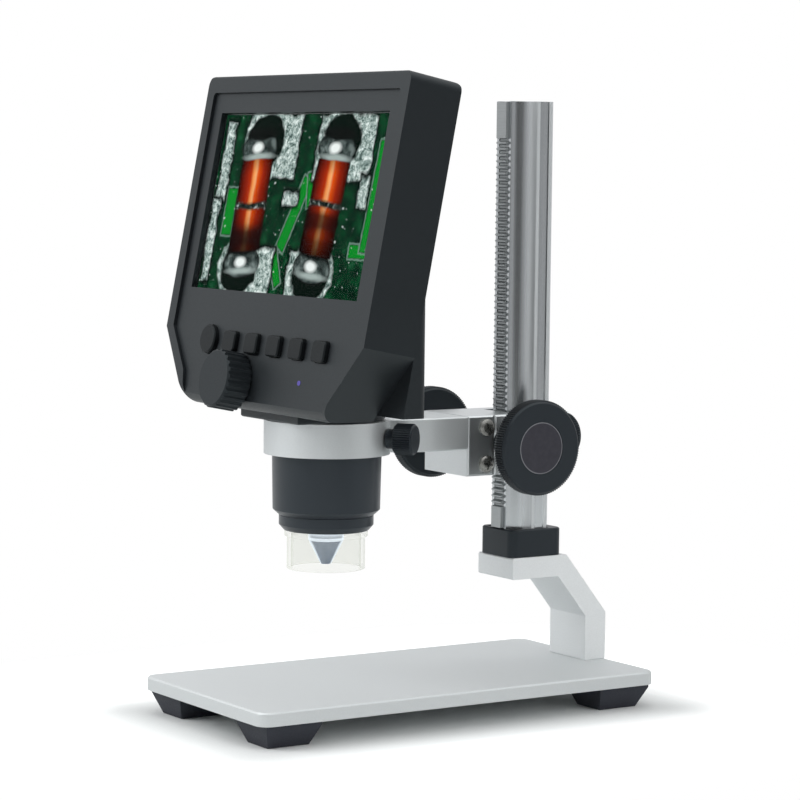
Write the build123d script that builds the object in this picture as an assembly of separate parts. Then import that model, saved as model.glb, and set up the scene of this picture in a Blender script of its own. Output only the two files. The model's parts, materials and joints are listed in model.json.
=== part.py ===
"""Digital microscope with its own 4.3 inch screen, on a rack-and-pinion stand.

The screen head hangs by its lens barrel in a ring at the end of a short arm. The arm is screwed to a
carriage that a pinion drives up and down a grooved aluminium column, and the column stands on a
cranked bracket at the back of a flat stage plate with four rubber feet.

Frame, in mm: origin on the table under the middle of the stage plate, +X to the right as the screen is
read, +Y to the back (towards the column), +Z up.
"""
import os
from math import acos, cos, pi, radians, sin, tan

from build123d import *

# stage plate and feet
PLATE_L, PLATE_W, PLATE_T, PLATE_R = 141.0, 71.5, 4.1, 4.0
FOOT_H, FOOT_LIP = 7.2, 0.8
FOOT_TOP, FOOT_BOTTOM = (18.4, 18.6), (11.4, 13.8)
FOOT_X, FOOT_Y = PLATE_W / 2 - 10.25, PLATE_L / 2 - 11.5
FOOT_SCREW_R, FOOT_SCREW_REACH, FOOT_RECESS = 1.25, 2.6, 3.0
PLATE_Z = FOOT_H + PLATE_T

# cranked bracket that carries the column
BRACKET_W, BRACKET_FRONT, BRACKET_BACK = 18.8, 34.2, PLATE_L / 2 - 0.1
BRACKET_SCREW_R, BRACKET_SCREW_X, BRACKET_SCREW_L = 1.5, 5.0, 11.0
BRACKET_TOP, BAR_T, LEG_T = 45.4, 6.7, 8.0
BEND_TOP_Y, BEND_UNDER_Y, BEND_OUT_Z, BEND_IN_Z = 54.8, 51.6, 26.2, 25.4

# column and its foot collar
COLUMN_W, COLUMN_FRONT, COLUMN_BACK, COLUMN_TOP = 14.0, 35.2, 49.4, 186.1
COLUMN_BORE_Y, COLUMN_LIP = 43.6, 3.8
COLLAR_W, COLLAR_FRONT, COLLAR_BACK, COLLAR_TOP = 17.6, 34.0, 53.5, 54.0
GRUB_Z, GRUB_R = (BRACKET_TOP + COLLAR_TOP) / 2, 1.5
BOLT_R, BOLT_L, BOLT_HEAD_R, BOLT_HEAD_H = 2.0, 18.0, 3.5, 3.0
BOLT_SEAT = BRACKET_TOP - BOLT_HEAD_H - 0.7

# rack and pinion: 20 degree teeth
PRESSURE = radians(20)
MODULE, PINION_TEETH, BACKLASH = 0.6, 20, 0.06
RACK_W, RACK_TIP_Y, RACK_BACK_Y = 5.0, 34.1, 37.7
TEETH_REACH_DOWN, TEETH_REACH_UP = 20.9, 92.5    # toothed length below and above the pinion at rest
PINION_R = MODULE * PINION_TEETH / 2
PINION_Y, PINION_Z = RACK_TIP_Y + MODULE - PINION_R, 81.9
SHAFT_R, BUSH_R = 2.0, 3.3

# carriage, its front block and the arm with the ring
CARRIAGE_W, CARRIAGE_LOW, CARRIAGE_HIGH = 24.0, 72.1, 90.5
BLOCK_FRONT, BLOCK_SPLIT, CARRIAGE_BACK = 15.0, 25.0, 53.0
TONGUE_W, TONGUE_FRONT = 16.0, 20.0
ARM_LOW, ARM_HIGH = 80.3, 90.4
LENS_Y, RING_R, BARREL_R = -27.8, 18.9, 16.4
CHEEK_SCREW_Y, CHEEK_SCREW_Z, CHEEK_SCREW_R, CHEEK_SCREW_L = 21.7, (75.7, 86.9), 1.25, 7.0
ARM_SCREW_X, ARM_SCREW_Z, ARM_SCREW_R = 6.0, (ARM_LOW + ARM_HIGH) / 2, 1.5
ARM_SCREW_HEAD_R, ARM_SCREW_L, ARM_SCREW_SINK = 2.8, 10.0, 3.0

# hand knobs
DRIVE_KNOB_R, DRIVE_KNOB_T, DRIVE_KNOB_FACE, KNOB_CAP_R = 14.4, 5.0, 31.3, 7.85
LOCK_KNOB_R, LOCK_KNOB_FRONT, LOCK_KNOB_BACK = 7.0, 54.0, 62.0
THUMB_ANGLE, THUMB_R, THUMB_NEAR, THUMB_FAR = 38.0, 4.7, 21.7, 27.9

# screen head: a slab leaning back, with a wedge-shaped box and a round tower behind its lower half
LEAN = radians(11.1)
SCREEN_Y, SCREEN_Z, SCREEN_W, SCREEN_H = -43.0, 154.9, 95.0, 53.9
SIDE_FRAME, TOP_FRAME = 9.65, 11.55    # width of the moulding beside and above the screen
HEAD_HALF, HEAD_UP, HEAD_DEEP, HEAD_LOW = SCREEN_W / 2 + SIDE_FRAME, SCREEN_H / 2 + TOP_FRAME, 16.8, 93.2
CHAMFER_V, CHAMFER_U, LOW_V, LOW_R = -40.0, HEAD_HALF - 18.75, -62.9, 5.5
RIM_SIDE, RIM_TOP = 4.15, 5.2    # width of the raised rim beside and above the recessed panel
POST_R, POST_IN, POST_V = 1.75, 3.85, (-18.5, HEAD_UP - 3.9)
HOUSING_SCREW_R, HOUSING_SCREW_L, HOUSING_SCREW_HEAD_R = 0.9, 7.0, 1.65
PANEL_BORDER, PANEL_T = (4.0, 6.05), 3.2    # tin frame beyond the lit area, and the panel's depth
WALL, RIM, RECESS = 2.0, 0.6, 1.0
WEDGE_BACK, WEDGE_LOW, WEDGE_R, WEDGE_STEP = -29.3, 95.2, 2.8, 0.6
TOWER_R, TOWER_TOP = 19.0, 112.0

# lens barrel, from the ring down
NECK_LOW, BARREL_WALL = 90.7, 2.2
BARREL_END, NOSE_TOP, NOSE_LOW, NOSE_R = 63.6, 61.9, 57.3, 14.2
SHIELD_R, SHIELD_LIP_R, SHIELD_LOW, SHIELD_WALL = 11.7, 12.5, 45.7, 1.2
NOSE_BORE_R, SPIGOT_R = 11.5, 10.5
LED_RING_R, LED_COUNT, LED_SIZE = 8.2, 8, (2.4, 2.4, 0.9)
SENSOR_R, SENSOR_SIZE, NECK_BORE_R = 8.6, 7.0, 14.0
NECK_R, NECK_W, NECK_FRONT = 17.4, 33.2, -48.0

# focus drive: an inclined rack on the lens carrier
FOCUS_U, FOCUS_V, FOCUS_KNOB_R, FOCUS_KNOB_T = -10.2, -54.3, 8.8, 8.0
FOCUS_MODULE, FOCUS_TEETH, FOCUS_SHAFT_R, FOCUS_DEPTH = 0.3, 18, 1.5, 17.0
LENS_TIP, LENS_SHOULDER, LENS_R = 47.0, 54.2, 5.3
CARRIER_R, CARRIER_LOW, CARRIER_HIGH, CARRIER_FLANGE = 6.1, 64.9, 79.0, 2.4

# boards and battery: place and size of each chip, then of the battery
BOARD_T, CHIP_T = 1.2, 1.2
CHIPS = ((-18.0, -22.0, 14.0, 14.0), (4.0, -22.0, 10.0, 12.0), (26.0, -24.0, 8.0, 6.0))
BATTERY_U, BATTERY_V, BATTERY_W, BATTERY_H, BATTERY_GAP = 6.0, 10.0, 62.0, 36.0, 1.4

# control buttons, lamp and sockets
BUTTON_V, BUTTON_PITCH, BUTTON_FIRST, BUTTON_W, BUTTON_H = -42.5, 12.8, -17.0, 7.2, 6.2
SOCKETS = ((-6.0, 7.6), (12.0, 13.0))    # height up the screen and width of each socket in the left side
SOCKET_DEEP, SOCKET_T, SOCKET_WALL = 7.4, 2.7, 0.4
LAMP_U, LAMP_V, LAMP_R = 24.8, -52.1, 0.7
KEYPAD_U, KEYPAD_W, KEYPAD_H, KEYPAD_POSTS = 2.2, 75.0, 8.4, (-24.0, 2.2, 27.8)
POWER_U, POWER_R, BUTTON_PROUD, BUTTON_FLANGE = -29.8, 4.4, 1.6, 0.7
BUTTON_GAP, BUTTON_HIDDEN = 0.15, 0.8    # gap round a key, and width of the flange behind the panel

# fits
RUN = 0.05      # radial clearance of a running fit
FREE = 0.3      # gap between pieces that pass each other
HOLD = 0.03     # radial clearance around a screw or a pressed piece
FAR = 200.0     # reach of a cut that goes right through

# the slab's own frame: x to the right, y up the screen, z out of the screen towards the reader
SCREEN = Plane(origin=(0, SCREEN_Y, SCREEN_Z), x_dir=(1, 0, 0), z_dir=(0, -cos(LEAN), sin(LEAN)))
PANEL = RIM - RECESS            # front of the recessed panel
INNER = PANEL - WALL            # inside of the front wall
BACK = -HEAD_DEEP               # back plane of the slab


# ---- helpers ----

def block(x, y, z):
    """Box from three (low, high) pairs."""
    size = [high - low for low, high in (x, y, z)]
    middle = [(high + low) / 2 for low, high in (x, y, z)]
    return Pos(*middle) * Box(*size)


def rod(radius, low, high):
    """Cylinder on the z axis between two heights."""
    return Pos(0, 0, (low + high) / 2) * Cylinder(radius, high - low)


def stand_up(shape, origin, direction):
    """Put a shape drawn on +Z at a point, pointing along a direction."""
    return Plane(origin=origin, z_dir=direction).location * shape


def prism(sketch, height):
    """Raise a flat sketch along +Z, whichever way round it was drawn."""
    return extrude(sketch, amount=height, dir=(0, 0, 1))


def side_prism(points, low, high):
    """Extrude a (y, z) outline along X."""
    outline = Plane.YZ * Polygon(*points, align=None)
    return Pos(low, 0, 0) * extrude(outline, amount=high - low, dir=(1, 0, 0))


def soften(sketch, points, radius):
    """Round the corners of a sketch that lie nearest the given points."""
    corners = [min(sketch.vertices(), key=lambda v: (Vector(*v) - Vector(*p)).length) for p in points]
    return fillet(corners, radius)


def turned(points, centre_y=LENS_Y):
    """Revolve an (r, z) outline about the vertical axis through the lens."""
    return Pos(0, centre_y, 0) * revolve(Plane.XZ * Polygon(*points, align=None), Axis.Z)


def pan_screw(shank_r, length, head_r, head_h):
    """Screw on -Z with a plain round head, whose underside is at z = 0."""
    return rod(head_r, 0, head_h) + rod(shank_r, -length, 0)


def socket_screw(shank_r, length, head_r, head_h):
    """Hexagon socket screw on -Z, with the underside of its head at z = 0."""
    screw = rod(head_r, 0, head_h) + rod(shank_r, -length, 0)
    key = prism(RegularPolygon(head_r * 0.55, 6), head_h)
    return screw - Pos(0, 0, head_h * 0.45) * key


def disc(radius, thick, bevel):
    """Disc on +Z from z = 0, bevelled at both faces: the body of a knurled knob, without its fine knurl."""
    body = rod(radius, 0, thick)
    return chamfer(body.edges().filter_by(GeomType.CIRCLE), bevel)


def involute_gear(module, teeth, width):
    """Spur gear on +Z with one tooth centred on +X."""
    pitch_r = module * teeth / 2
    base_r, tip_r, root_r = pitch_r * cos(PRESSURE), pitch_r + module, pitch_r - 1.25 * module

    def half_angle(r):
        roll = acos(min(1.0, base_r / r))
        return (pi / 2 / teeth - BACKLASH * module / MODULE / 2 / pitch_r
                + tan(PRESSURE) - PRESSURE - tan(roll) + roll)

    flank = [(root_r, half_angle(base_r))]
    flank += [(base_r + (tip_r - base_r) * k / 3, half_angle(base_r + (tip_r - base_r) * k / 3))
              for k in range(4)]
    outline = []
    for i in range(teeth):
        middle = 2 * pi * i / teeth
        outline += [(r, middle - a) for r, a in flank] + [(r, middle + a) for r, a in reversed(flank)]
    face = Polygon(*[(r * cos(a), r * sin(a)) for r, a in outline], align=None)
    return prism(face, width)


def rack_edge(module, first, count):
    """Toothed edge as (along, depth) points: a gap is centred on 0, and depth 0 is the tooth tip."""
    pitch = pi * module
    tip = pitch / 4 - module * tan(PRESSURE) - BACKLASH * module / MODULE / 2
    root = tip + 2.25 * module * tan(PRESSURE)
    points = []
    for i in range(first, first + count):
        middle = (i + 0.5) * pitch
        points += [(middle - root, 2.25 * module), (middle - tip, 0),
                   (middle + tip, 0), (middle + root, 2.25 * module)]
    return points


# ---- stand ----

def base_plate():
    plate = prism(RectangleRounded(PLATE_W, PLATE_L, PLATE_R), PLATE_T)
    plate = chamfer(plate.edges().group_by(Axis.Z)[-1], 0.5)
    plate = Pos(0, 0, FOOT_H) * plate
    for x, y in foot_places():
        plate -= Pos(x, y, 0) * rod(FOOT_SCREW_R + HOLD, FOOT_H - 1, PLATE_Z - 0.8)
    for x, y in bracket_screw_places():
        plate -= Pos(x, y, 0) * (rod(BRACKET_SCREW_R + HOLD, FOOT_H - 1, PLATE_Z + 1)
                                 + rod(3.1, FOOT_H - 1, FOOT_H + 2))
    return plate


def foot_places():
    return [(x, y) for y in (-FOOT_Y, FOOT_Y) for x in (-FOOT_X, FOOT_X)]


def foot(x, y):
    """Tapered rubber foot with a short straight lip under the plate and a recess for its screw."""
    low = Rectangle(*FOOT_BOTTOM)
    high = Pos(0, 0, FOOT_H - FOOT_LIP) * Rectangle(*FOOT_TOP)
    body = loft([low, high]) + prism(high, FOOT_LIP)
    body -= rod(3.2, -1, FOOT_RECESS) + rod(FOOT_SCREW_R + HOLD, 0, FOOT_H + 1)
    return Pos(x, y, 0) * body


def foot_screws():
    screw = Rot(180, 0, 0) * pan_screw(FOOT_SCREW_R, FOOT_H - FOOT_RECESS + FOOT_SCREW_REACH, 2.7, 1.9)
    return [Pos(x, y, FOOT_RECESS) * screw for x, y in foot_places()]


def bracket_screw_places():
    return [(x, BRACKET_BACK - LEG_T / 2) for x in (-BRACKET_SCREW_X, BRACKET_SCREW_X)]


def bracket_screws():
    screw = Rot(180, 0, 0) * pan_screw(BRACKET_SCREW_R, BRACKET_SCREW_L, 2.9, 1.9)
    return [Pos(x, y, FOOT_H + 2) * screw for x, y in bracket_screw_places()]


def column_bracket():
    """Flat bar bent twice: level under the column, sloping back, then straight down to the plate."""
    bend = BRACKET_BACK - LEG_T
    outline = [(BRACKET_FRONT, BRACKET_TOP), (BEND_TOP_Y, BRACKET_TOP), (BRACKET_BACK, BEND_OUT_Z),
               (BRACKET_BACK, PLATE_Z), (bend, PLATE_Z), (bend, BEND_IN_Z),
               (BEND_UNDER_Y, BRACKET_TOP - BAR_T), (BRACKET_FRONT, BRACKET_TOP - BAR_T)]
    bar = side_prism(outline, -BRACKET_W / 2, BRACKET_W / 2)
    bar = chamfer(bar.edges().filter_by(Axis.X).sort_by(Axis.Y)[:2], 0.4)
    bar -= Pos(0, COLUMN_BORE_Y, 0) * (rod(BOLT_R + HOLD, PLATE_Z, FAR)
                                       + rod(BOLT_HEAD_R + 0.1, PLATE_Z, BOLT_SEAT))
    for x, y in bracket_screw_places():
        bar -= Pos(x, y, 0) * rod(BRACKET_SCREW_R + HOLD, PLATE_Z - 1, FOOT_H + 2 + BRACKET_SCREW_L + 0.4)
    return bar


def column_bolt():
    bolt = Rot(180, 0, 0) * socket_screw(BOLT_R, BOLT_L, BOLT_HEAD_R, BOLT_HEAD_H)
    return Pos(0, COLUMN_BORE_Y, BOLT_SEAT) * bolt


def column_outline():
    """Half of the extrusion's outline: rack lip, side flute, guide lands with a shallow groove, back."""
    half, groove = COLUMN_W / 2, 0.45
    lip, flute = COLUMN_FRONT, COLUMN_FRONT + 7.2
    path = Polyline((0, lip), (COLUMN_LIP, lip)) + ThreePointArc(
        (COLUMN_LIP, lip), (COLUMN_LIP + 0.4, lip + 4.0), (half - 0.5, flute))
    return path + Polyline((half - 0.5, flute), (half, flute + 0.3), (half, flute + 1.5),
                           (half - groove, flute + 1.8), (half - groove, COLUMN_BACK - 2.4),
                           (half, COLUMN_BACK - 2.1), (half, COLUMN_BACK - 1.0),
                           (half - 1.0, COLUMN_BACK), (0, COLUMN_BACK), (0, lip))


def column():
    half = make_face(column_outline())
    bar = prism(half + mirror(half, Plane.YZ), COLUMN_TOP - BRACKET_TOP)
    bar -= block((-RACK_W / 2 - HOLD, RACK_W / 2 + HOLD), (0, RACK_BACK_Y), (-1, COLUMN_TOP))
    bar -= Pos(0, COLUMN_BORE_Y, 0) * rod(BOLT_R + HOLD, -1, COLUMN_TOP)
    return Pos(0, 0, BRACKET_TOP) * bar


def rack():
    """Steel strip in the column's front slot: plain ends, and teeth proud of the slot between them."""
    pitch = pi * MODULE
    below, above = int(TEETH_REACH_DOWN / pitch), int(TEETH_REACH_UP / pitch)
    edge = rack_edge(MODULE, -below, below + above)
    teeth = [(RACK_TIP_Y + depth, PINION_Z + along) for along, depth in edge]
    root = 2.25 * MODULE
    low, high = teeth[0][1] - 0.4, teeth[-1][1] + 0.4
    ends = [(RACK_BACK_Y, COLUMN_TOP - 0.2), (RACK_BACK_Y, COLLAR_TOP + 0.2), (RACK_TIP_Y, COLLAR_TOP + 0.2)]
    outline = ([(RACK_TIP_Y, low - 0.3), (RACK_TIP_Y + root, low)] + teeth
               + [(RACK_TIP_Y + root, high), (RACK_TIP_Y, high + 0.3), (RACK_TIP_Y, COLUMN_TOP - 0.2)] + ends)
    return side_prism(outline, -RACK_W / 2, RACK_W / 2)


def column_collar():
    """Rounded block round the foot of the column, held by a grub screw at the back."""
    deep = COLLAR_BACK - COLLAR_FRONT
    body = prism(RectangleRounded(COLLAR_W, deep, 2.6), COLLAR_TOP - BRACKET_TOP)
    body = chamfer(body.edges().group_by(Axis.Z)[-1], 0.4)
    body = Pos(0, (COLLAR_BACK + COLLAR_FRONT) / 2, BRACKET_TOP) * body
    side = COLUMN_W / 2 + RUN
    body -= block((-side, side), (COLUMN_FRONT - RUN, COLUMN_BACK + RUN), (0, FAR))
    return body - grub_hole()


def grub_hole():
    return stand_up(rod(GRUB_R + HOLD, -1, 6), (0, COLUMN_BACK, GRUB_Z), (0, 1, 0))


def collar_grub_screw():
    screw = rod(GRUB_R, 0, 3.6) - Pos(0, 0, 2.0) * prism(RegularPolygon(0.8, 6), 3)
    return stand_up(screw, (0, COLUMN_BACK + 0.02, GRUB_Z), (0, 1, 0))


# ---- carriage ----

def pinion_bore(radius, low, high):
    return stand_up(rod(radius, low, high), (0, PINION_Y, PINION_Z), (1, 0, 0))


def carriage_block():
    """Square block that slides on the column's side lands, with a tongue at the front."""
    half, height = CARRIAGE_W / 2, (CARRIAGE_LOW, CARRIAGE_HIGH)
    body = block((-half, half), (BLOCK_SPLIT, CARRIAGE_BACK), height)
    body = chamfer(body.edges().filter_by(Axis.Z) + body.edges().filter_by(Axis.Y), 0.5)
    body += block((-TONGUE_W / 2, TONGUE_W / 2), (TONGUE_FRONT, BLOCK_SPLIT + 1), height)
    land = COLUMN_W / 2 + RUN
    body -= block((-land, land), (RACK_TIP_Y - FREE, COLUMN_BACK + RUN), (0, FAR))
    body -= pinion_bore(PINION_R + MODULE + FREE, -3.6, 3.6) + pinion_bore(SHAFT_R + FREE, -half, half)
    body -= pinion_bore(BUSH_R + HOLD, -half - 1, -5) + pinion_bore(BUSH_R + HOLD, 5, half + 1)
    body -= stand_up(rod(2.0 + RUN, 0, 6), (0, COLUMN_BACK, PINION_Z), (0, 1, 0))
    return body - cheek_screw_spots(rod(CHEEK_SCREW_R + HOLD, -CHEEK_SCREW_L - 0.4, 1))


def front_block():
    """U-shaped block that closes over the tongue and carries the arm on its front face."""
    half, height = CARRIAGE_W / 2, (CARRIAGE_LOW, CARRIAGE_HIGH)
    body = block((-half, half), (BLOCK_FRONT, BLOCK_SPLIT - FREE), height)
    body = chamfer(body.edges().filter_by(Axis.Z) + body.edges().filter_by(Axis.Y), 0.5)
    body -= block((-TONGUE_W / 2, TONGUE_W / 2), (TONGUE_FRONT, BLOCK_SPLIT), (0, FAR))
    body -= cheek_screw_spots(rod(CHEEK_SCREW_R + HOLD, -CHEEK_SCREW_L - 0.4, 1))
    body -= arm_screw_spots(rod(ARM_SCREW_R + HOLD, -1, 7) + rod(ARM_SCREW_HEAD_R + 0.1, ARM_SCREW_SINK, 7))
    return body


def cheek_screw_spots(shape):
    """A +Z shape at each cheek screw, with z = 0 on the block's side."""
    half = CARRIAGE_W / 2
    return [stand_up(shape, (side * half, CHEEK_SCREW_Y, z), (side, 0, 0))
            for side in (-1, 1) for z in CHEEK_SCREW_Z]


def cheek_screws():
    return cheek_screw_spots(pan_screw(CHEEK_SCREW_R, CHEEK_SCREW_L, 2.6, 1.7))


def arm_screw_spots(shape):
    """A +Z shape at each arm screw, with z = 0 where the arm meets the front block."""
    return [stand_up(shape, (x, BLOCK_FRONT, ARM_SCREW_Z), (0, 1, 0)) for x in (-ARM_SCREW_X, ARM_SCREW_X)]


def arm_screws():
    """Two socket screws from inside the front block into the arm."""
    screw = socket_screw(ARM_SCREW_R, ARM_SCREW_L, ARM_SCREW_HEAD_R, 2.0)
    return arm_screw_spots(Pos(0, 0, ARM_SCREW_SINK) * screw)


def shaft_bushes():
    """Bronze sleeve in each side of the carriage, with a thin collar under the knob."""
    half = CARRIAGE_W / 2
    sleeve = rod(BUSH_R, 5, half) + rod(BUSH_R + 0.8, half, half + 0.6) - rod(SHAFT_R + RUN, 0, 20)
    return [stand_up(sleeve, (0, PINION_Y, PINION_Z), (side, 0, 0)) for side in (-1, 1)]


def thumb_direction():
    return (cos(radians(THUMB_ANGLE)), sin(radians(THUMB_ANGLE)), 0)


def thumb_axis(shape):
    """Move a +Z shape onto the clamp screw's axis, which starts at the lens axis."""
    return stand_up(shape, (0, LENS_Y, (ARM_LOW + ARM_HIGH) / 2), thumb_direction())


def ring_arm():
    """Ring round the barrel and a waisted arm, cut from one thick plate."""
    half, waist_y = CARRIAGE_W / 2, LENS_Y + RING_R - 2.5
    side = Line((half, BLOCK_FRONT), (half, 4.0)) + ThreePointArc((half, 4.0), (11.0, -4.0), (7.5, waist_y))
    edges = side + Polyline((7.5, waist_y), (0, waist_y), (0, BLOCK_FRONT), (half, BLOCK_FRONT))
    half_arm = make_face(edges)
    plan = half_arm + mirror(half_arm, Plane.YZ) + Pos(0, LENS_Y) * Circle(RING_R)
    body = Pos(0, 0, ARM_LOW) * prism(plan, ARM_HIGH - ARM_LOW)
    body = chamfer(body.edges().filter_by(Axis.Y), 0.4)
    body -= Pos(0, LENS_Y, 0) * rod(BARREL_R + RUN, 0, FAR)
    body -= thumb_axis(rod(1.5 + RUN, BARREL_R, RING_R + 1))
    return body - arm_screw_spots(rod(ARM_SCREW_R + HOLD, ARM_SCREW_SINK - ARM_SCREW_L - 0.4, 1))


# ---- pinion shaft and its knobs ----

def pinion_shaft():
    """Steel shaft with the pinion cut on it; one tooth points at the rack."""
    reach = DRIVE_KNOB_FACE - 1.6
    wide = RACK_W - 0.2
    gear = Pos(0, 0, -wide / 2) * involute_gear(MODULE, PINION_TEETH, wide)
    shaft = rod(SHAFT_R, -reach, reach)
    return Plane(origin=(0, PINION_Y, PINION_Z), x_dir=(0, 1, 0), z_dir=(1, 0, 0)).location * (
        gear + shaft)


def drive_knob(side):
    """Knurled disc knob, dished on its face, with a boss towards the carriage."""
    inner = DRIVE_KNOB_FACE - DRIVE_KNOB_T
    body = disc(DRIVE_KNOB_R, DRIVE_KNOB_T, 0.6)
    body += rod(5.0, CARRIAGE_W / 2 + 0.6 + FREE - inner, 0.5)
    body -= rod(KNOB_CAP_R, DRIVE_KNOB_T - 0.8, 20) + rod(SHAFT_R + HOLD, -20, DRIVE_KNOB_T - 1.6)
    return stand_up(body, (side * inner, PINION_Y, PINION_Z), (side, 0, 0))


def knob_caps():
    """Thin disc let into the face of each drive knob."""
    cap = rod(KNOB_CAP_R - HOLD, -0.8, -0.15)
    return [stand_up(cap, (side * DRIVE_KNOB_FACE, PINION_Y, PINION_Z), (side, 0, 0)) for side in (-1, 1)]


def lock_stud():
    return stand_up(rod(2.0, 0.15, 10), (0, COLUMN_BACK, PINION_Z), (0, 1, 0))


def lock_knob():
    body = disc(LOCK_KNOB_R, LOCK_KNOB_BACK - LOCK_KNOB_FRONT, 0.8)
    body += rod(3.6, CARRIAGE_BACK + FREE - LOCK_KNOB_FRONT, 0.5)
    body -= rod(2.0 + HOLD, -2, COLUMN_BACK + 10 - LOCK_KNOB_FRONT)
    return stand_up(body, (0, LOCK_KNOB_FRONT, PINION_Z), (0, 1, 0))


def thumb_stud():
    return thumb_axis(rod(1.5, BARREL_R + 0.1, THUMB_FAR - 2))


def thumb_knob():
    body = Pos(0, 0, THUMB_NEAR) * disc(THUMB_R, THUMB_FAR - THUMB_NEAR, 0.5)
    body += rod(3.0, RING_R + FREE, THUMB_NEAR + 0.5)
    return thumb_axis(body - rod(1.5 + HOLD, 0, THUMB_FAR - 2))


# ---- screen head: housings ----

def head_outline(inset=0.0):
    """Front view of the slab: rounded top corners, long chamfers below, narrow level foot."""
    half, top, low = HEAD_HALF - inset, HEAD_UP - inset, LOW_V + inset
    lean_in = inset * 0.45
    right = [(half, top), (half, CHAMFER_V + lean_in), (CHAMFER_U - lean_in, low)]
    left = [(-u, v) for u, v in reversed(right)]
    face = Polygon(*right, *left, align=None)
    face = soften(face, [right[0], left[-1]], max(3.0 - inset, 1.0))
    return soften(face, [right[2], left[0]], 6.0 - inset)


def head_side(inset=0.0):
    """Side view of the slab in (y, z): leaning front and back, level bottom with a round front edge."""
    def at(depth, v):
        return (SCREEN_Y + depth * cos(LEAN) + v * sin(LEAN), SCREEN_Z - depth * sin(LEAN) + v * cos(LEAN))

    def foot_at(depth):
        level = HEAD_LOW + inset
        v = (level - SCREEN_Z + depth * sin(LEAN)) / cos(LEAN)
        return at(depth, v)

    front, rear = (-RIM, HEAD_DEEP) if inset == 0 else (-INNER, HEAD_DEEP + 5)
    top = HEAD_UP - inset
    corners = [at(front, top), at(rear, top), foot_at(rear), foot_at(front)]
    face = Polygon(*corners, align=None)
    face = soften(face, [corners[3]], LOW_R - inset)
    if inset == 0:
        face = soften(face, [corners[0]], 0.8)
        face = soften(face, [corners[1]], 1.5)
    return face


def slab(inset=0.0):
    """The slab's solid envelope, or with an inset its inner space."""
    front = SCREEN.location * Pos(0, 0, BACK - 5 * (inset > 0)) * prism(head_outline(inset), 40)
    side = extrude(Plane.YZ * head_side(inset), amount=HEAD_HALF + 1, both=True)
    return front & side


def panel_cut(sketch, front, back):
    """Extrude a sketch on the screen frame between two levels."""
    return SCREEN.location * Pos(0, 0, back) * prism(sketch, front - back)


def button_places():
    return [(BUTTON_FIRST + i * BUTTON_PITCH, BUTTON_V) for i in range(5)]


def screw_posts():
    return [(side * (HEAD_HALF - POST_IN), v) for side in (-1, 1) for v in POST_V]


def panel_recess():
    """The front face lies lower than a rim along its top and sides; the rim runs out on the chamfers."""
    side, top = HEAD_HALF - RIM_SIDE, HEAD_UP - RIM_TOP
    right = [(side, top), (side, CHAMFER_V + 0.5),
             (side - 11.0, CHAMFER_V - 12.6), (side - 16.0, LOW_V - 9.1)]
    face = Polygon(*right, *[(-u, v) for u, v in reversed(right)], align=None)
    return soften(face, [(side, top), (-side, top)], 1.2)


def front_housing():
    shell = slab() - slab(WALL)
    shell -= panel_cut(panel_recess(), 5, PANEL)
    shell -= panel_cut(Rectangle(SCREEN_W + 0.4, SCREEN_H + 0.4), 5, INNER - 1)
    for u, v in screw_posts():
        shell += panel_cut(Pos(u, v) * Circle(POST_R), INNER + 0.5, BACK + WALL)
        shell -= panel_cut(Pos(u, v) * Circle(HOUSING_SCREW_R + HOLD), BACK + WALL + 6.2, -30)
    for u in KEYPAD_POSTS:
        shell += panel_cut(Pos(u, BUTTON_V + 5.0) * Circle(1.2), INNER + 0.5, INNER - 2.0)
    for u, v in button_places():
        hole = RectangleRounded(BUTTON_W + 2 * BUTTON_GAP, BUTTON_H + 2 * BUTTON_GAP, 1.3)
        shell -= panel_cut(Pos(u, v) * hole, 5, -9)
    shell -= panel_cut(Pos(POWER_U, BUTTON_V) * Circle(POWER_R + BUTTON_GAP), 5, -9)
    shell -= panel_cut(Pos(FOCUS_U, FOCUS_V) * Circle(3.0 + HOLD), 5, -6)
    shell -= panel_cut(Pos(LAMP_U, LAMP_V) * Circle(LAMP_R + HOLD), 5, -6)
    for v, wide in SOCKETS:
        shell -= socket_box(v, wide, -0.2)
    return shell - neck_bore()


def neck_bore():
    """Hole in the head's floor over the barrel, for the lens carrier and the wiring."""
    return Pos(0, LENS_Y, 0) * rod(NECK_BORE_R, ARM_LOW, HEAD_LOW + WALL + 1.5)


def wedge(inset=0.0):
    """Space behind the slab's lower half, upright at the back; inset gives its inner space."""
    low, back, half = WEDGE_LOW + inset, WEDGE_BACK - inset, HEAD_HALF - WEDGE_STEP - inset
    lean_y = SCREEN_Y + HEAD_DEEP / cos(LEAN) - (1.0 if inset else 0.0)

    def on_slab(z):
        return (lean_y + (z - SCREEN_Z) * tan(LEAN), z)

    apex_z = SCREEN_Z + (WEDGE_BACK - lean_y) / tan(LEAN)
    if not inset:
        return side_prism([(WEDGE_BACK, apex_z), (back, low), on_slab(low)], -half, half)
    roof = apex_z - 15.0
    return side_prism([on_slab(roof), (back, roof), (back, low), on_slab(low)], -half, half)


def tower(inset=0.0):
    """Round tower over the barrel with a sloping roof that runs into the wedge's back."""
    radius, low = TOWER_R - inset, HEAD_LOW + inset
    front = SCREEN_Y + HEAD_DEEP * cos(LEAN) + (low - SCREEN_Z) * tan(LEAN) + 3.3 * tan(LEAN)
    above_roof = HEAD_LOW + 2 * TOWER_R
    upright = Pos(0, LENS_Y, 0) * rod(radius, low, above_roof)
    upright += block((-radius, radius), (front, LENS_Y), (low, above_roof))
    roof = [(front - 10, low), (front - 10, above_roof), (WEDGE_BACK, TOWER_TOP + 16.0 - inset),
            (LENS_Y + radius, TOWER_TOP - inset), (LENS_Y + radius, low)]
    return upright & side_prism(roof, -radius, radius)


def behind_slab(shape):
    """Keep only what lies behind the slab's back plane."""
    return shape - SCREEN.location * block((-80, 80), (-90, 60), (BACK, 60))


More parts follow.
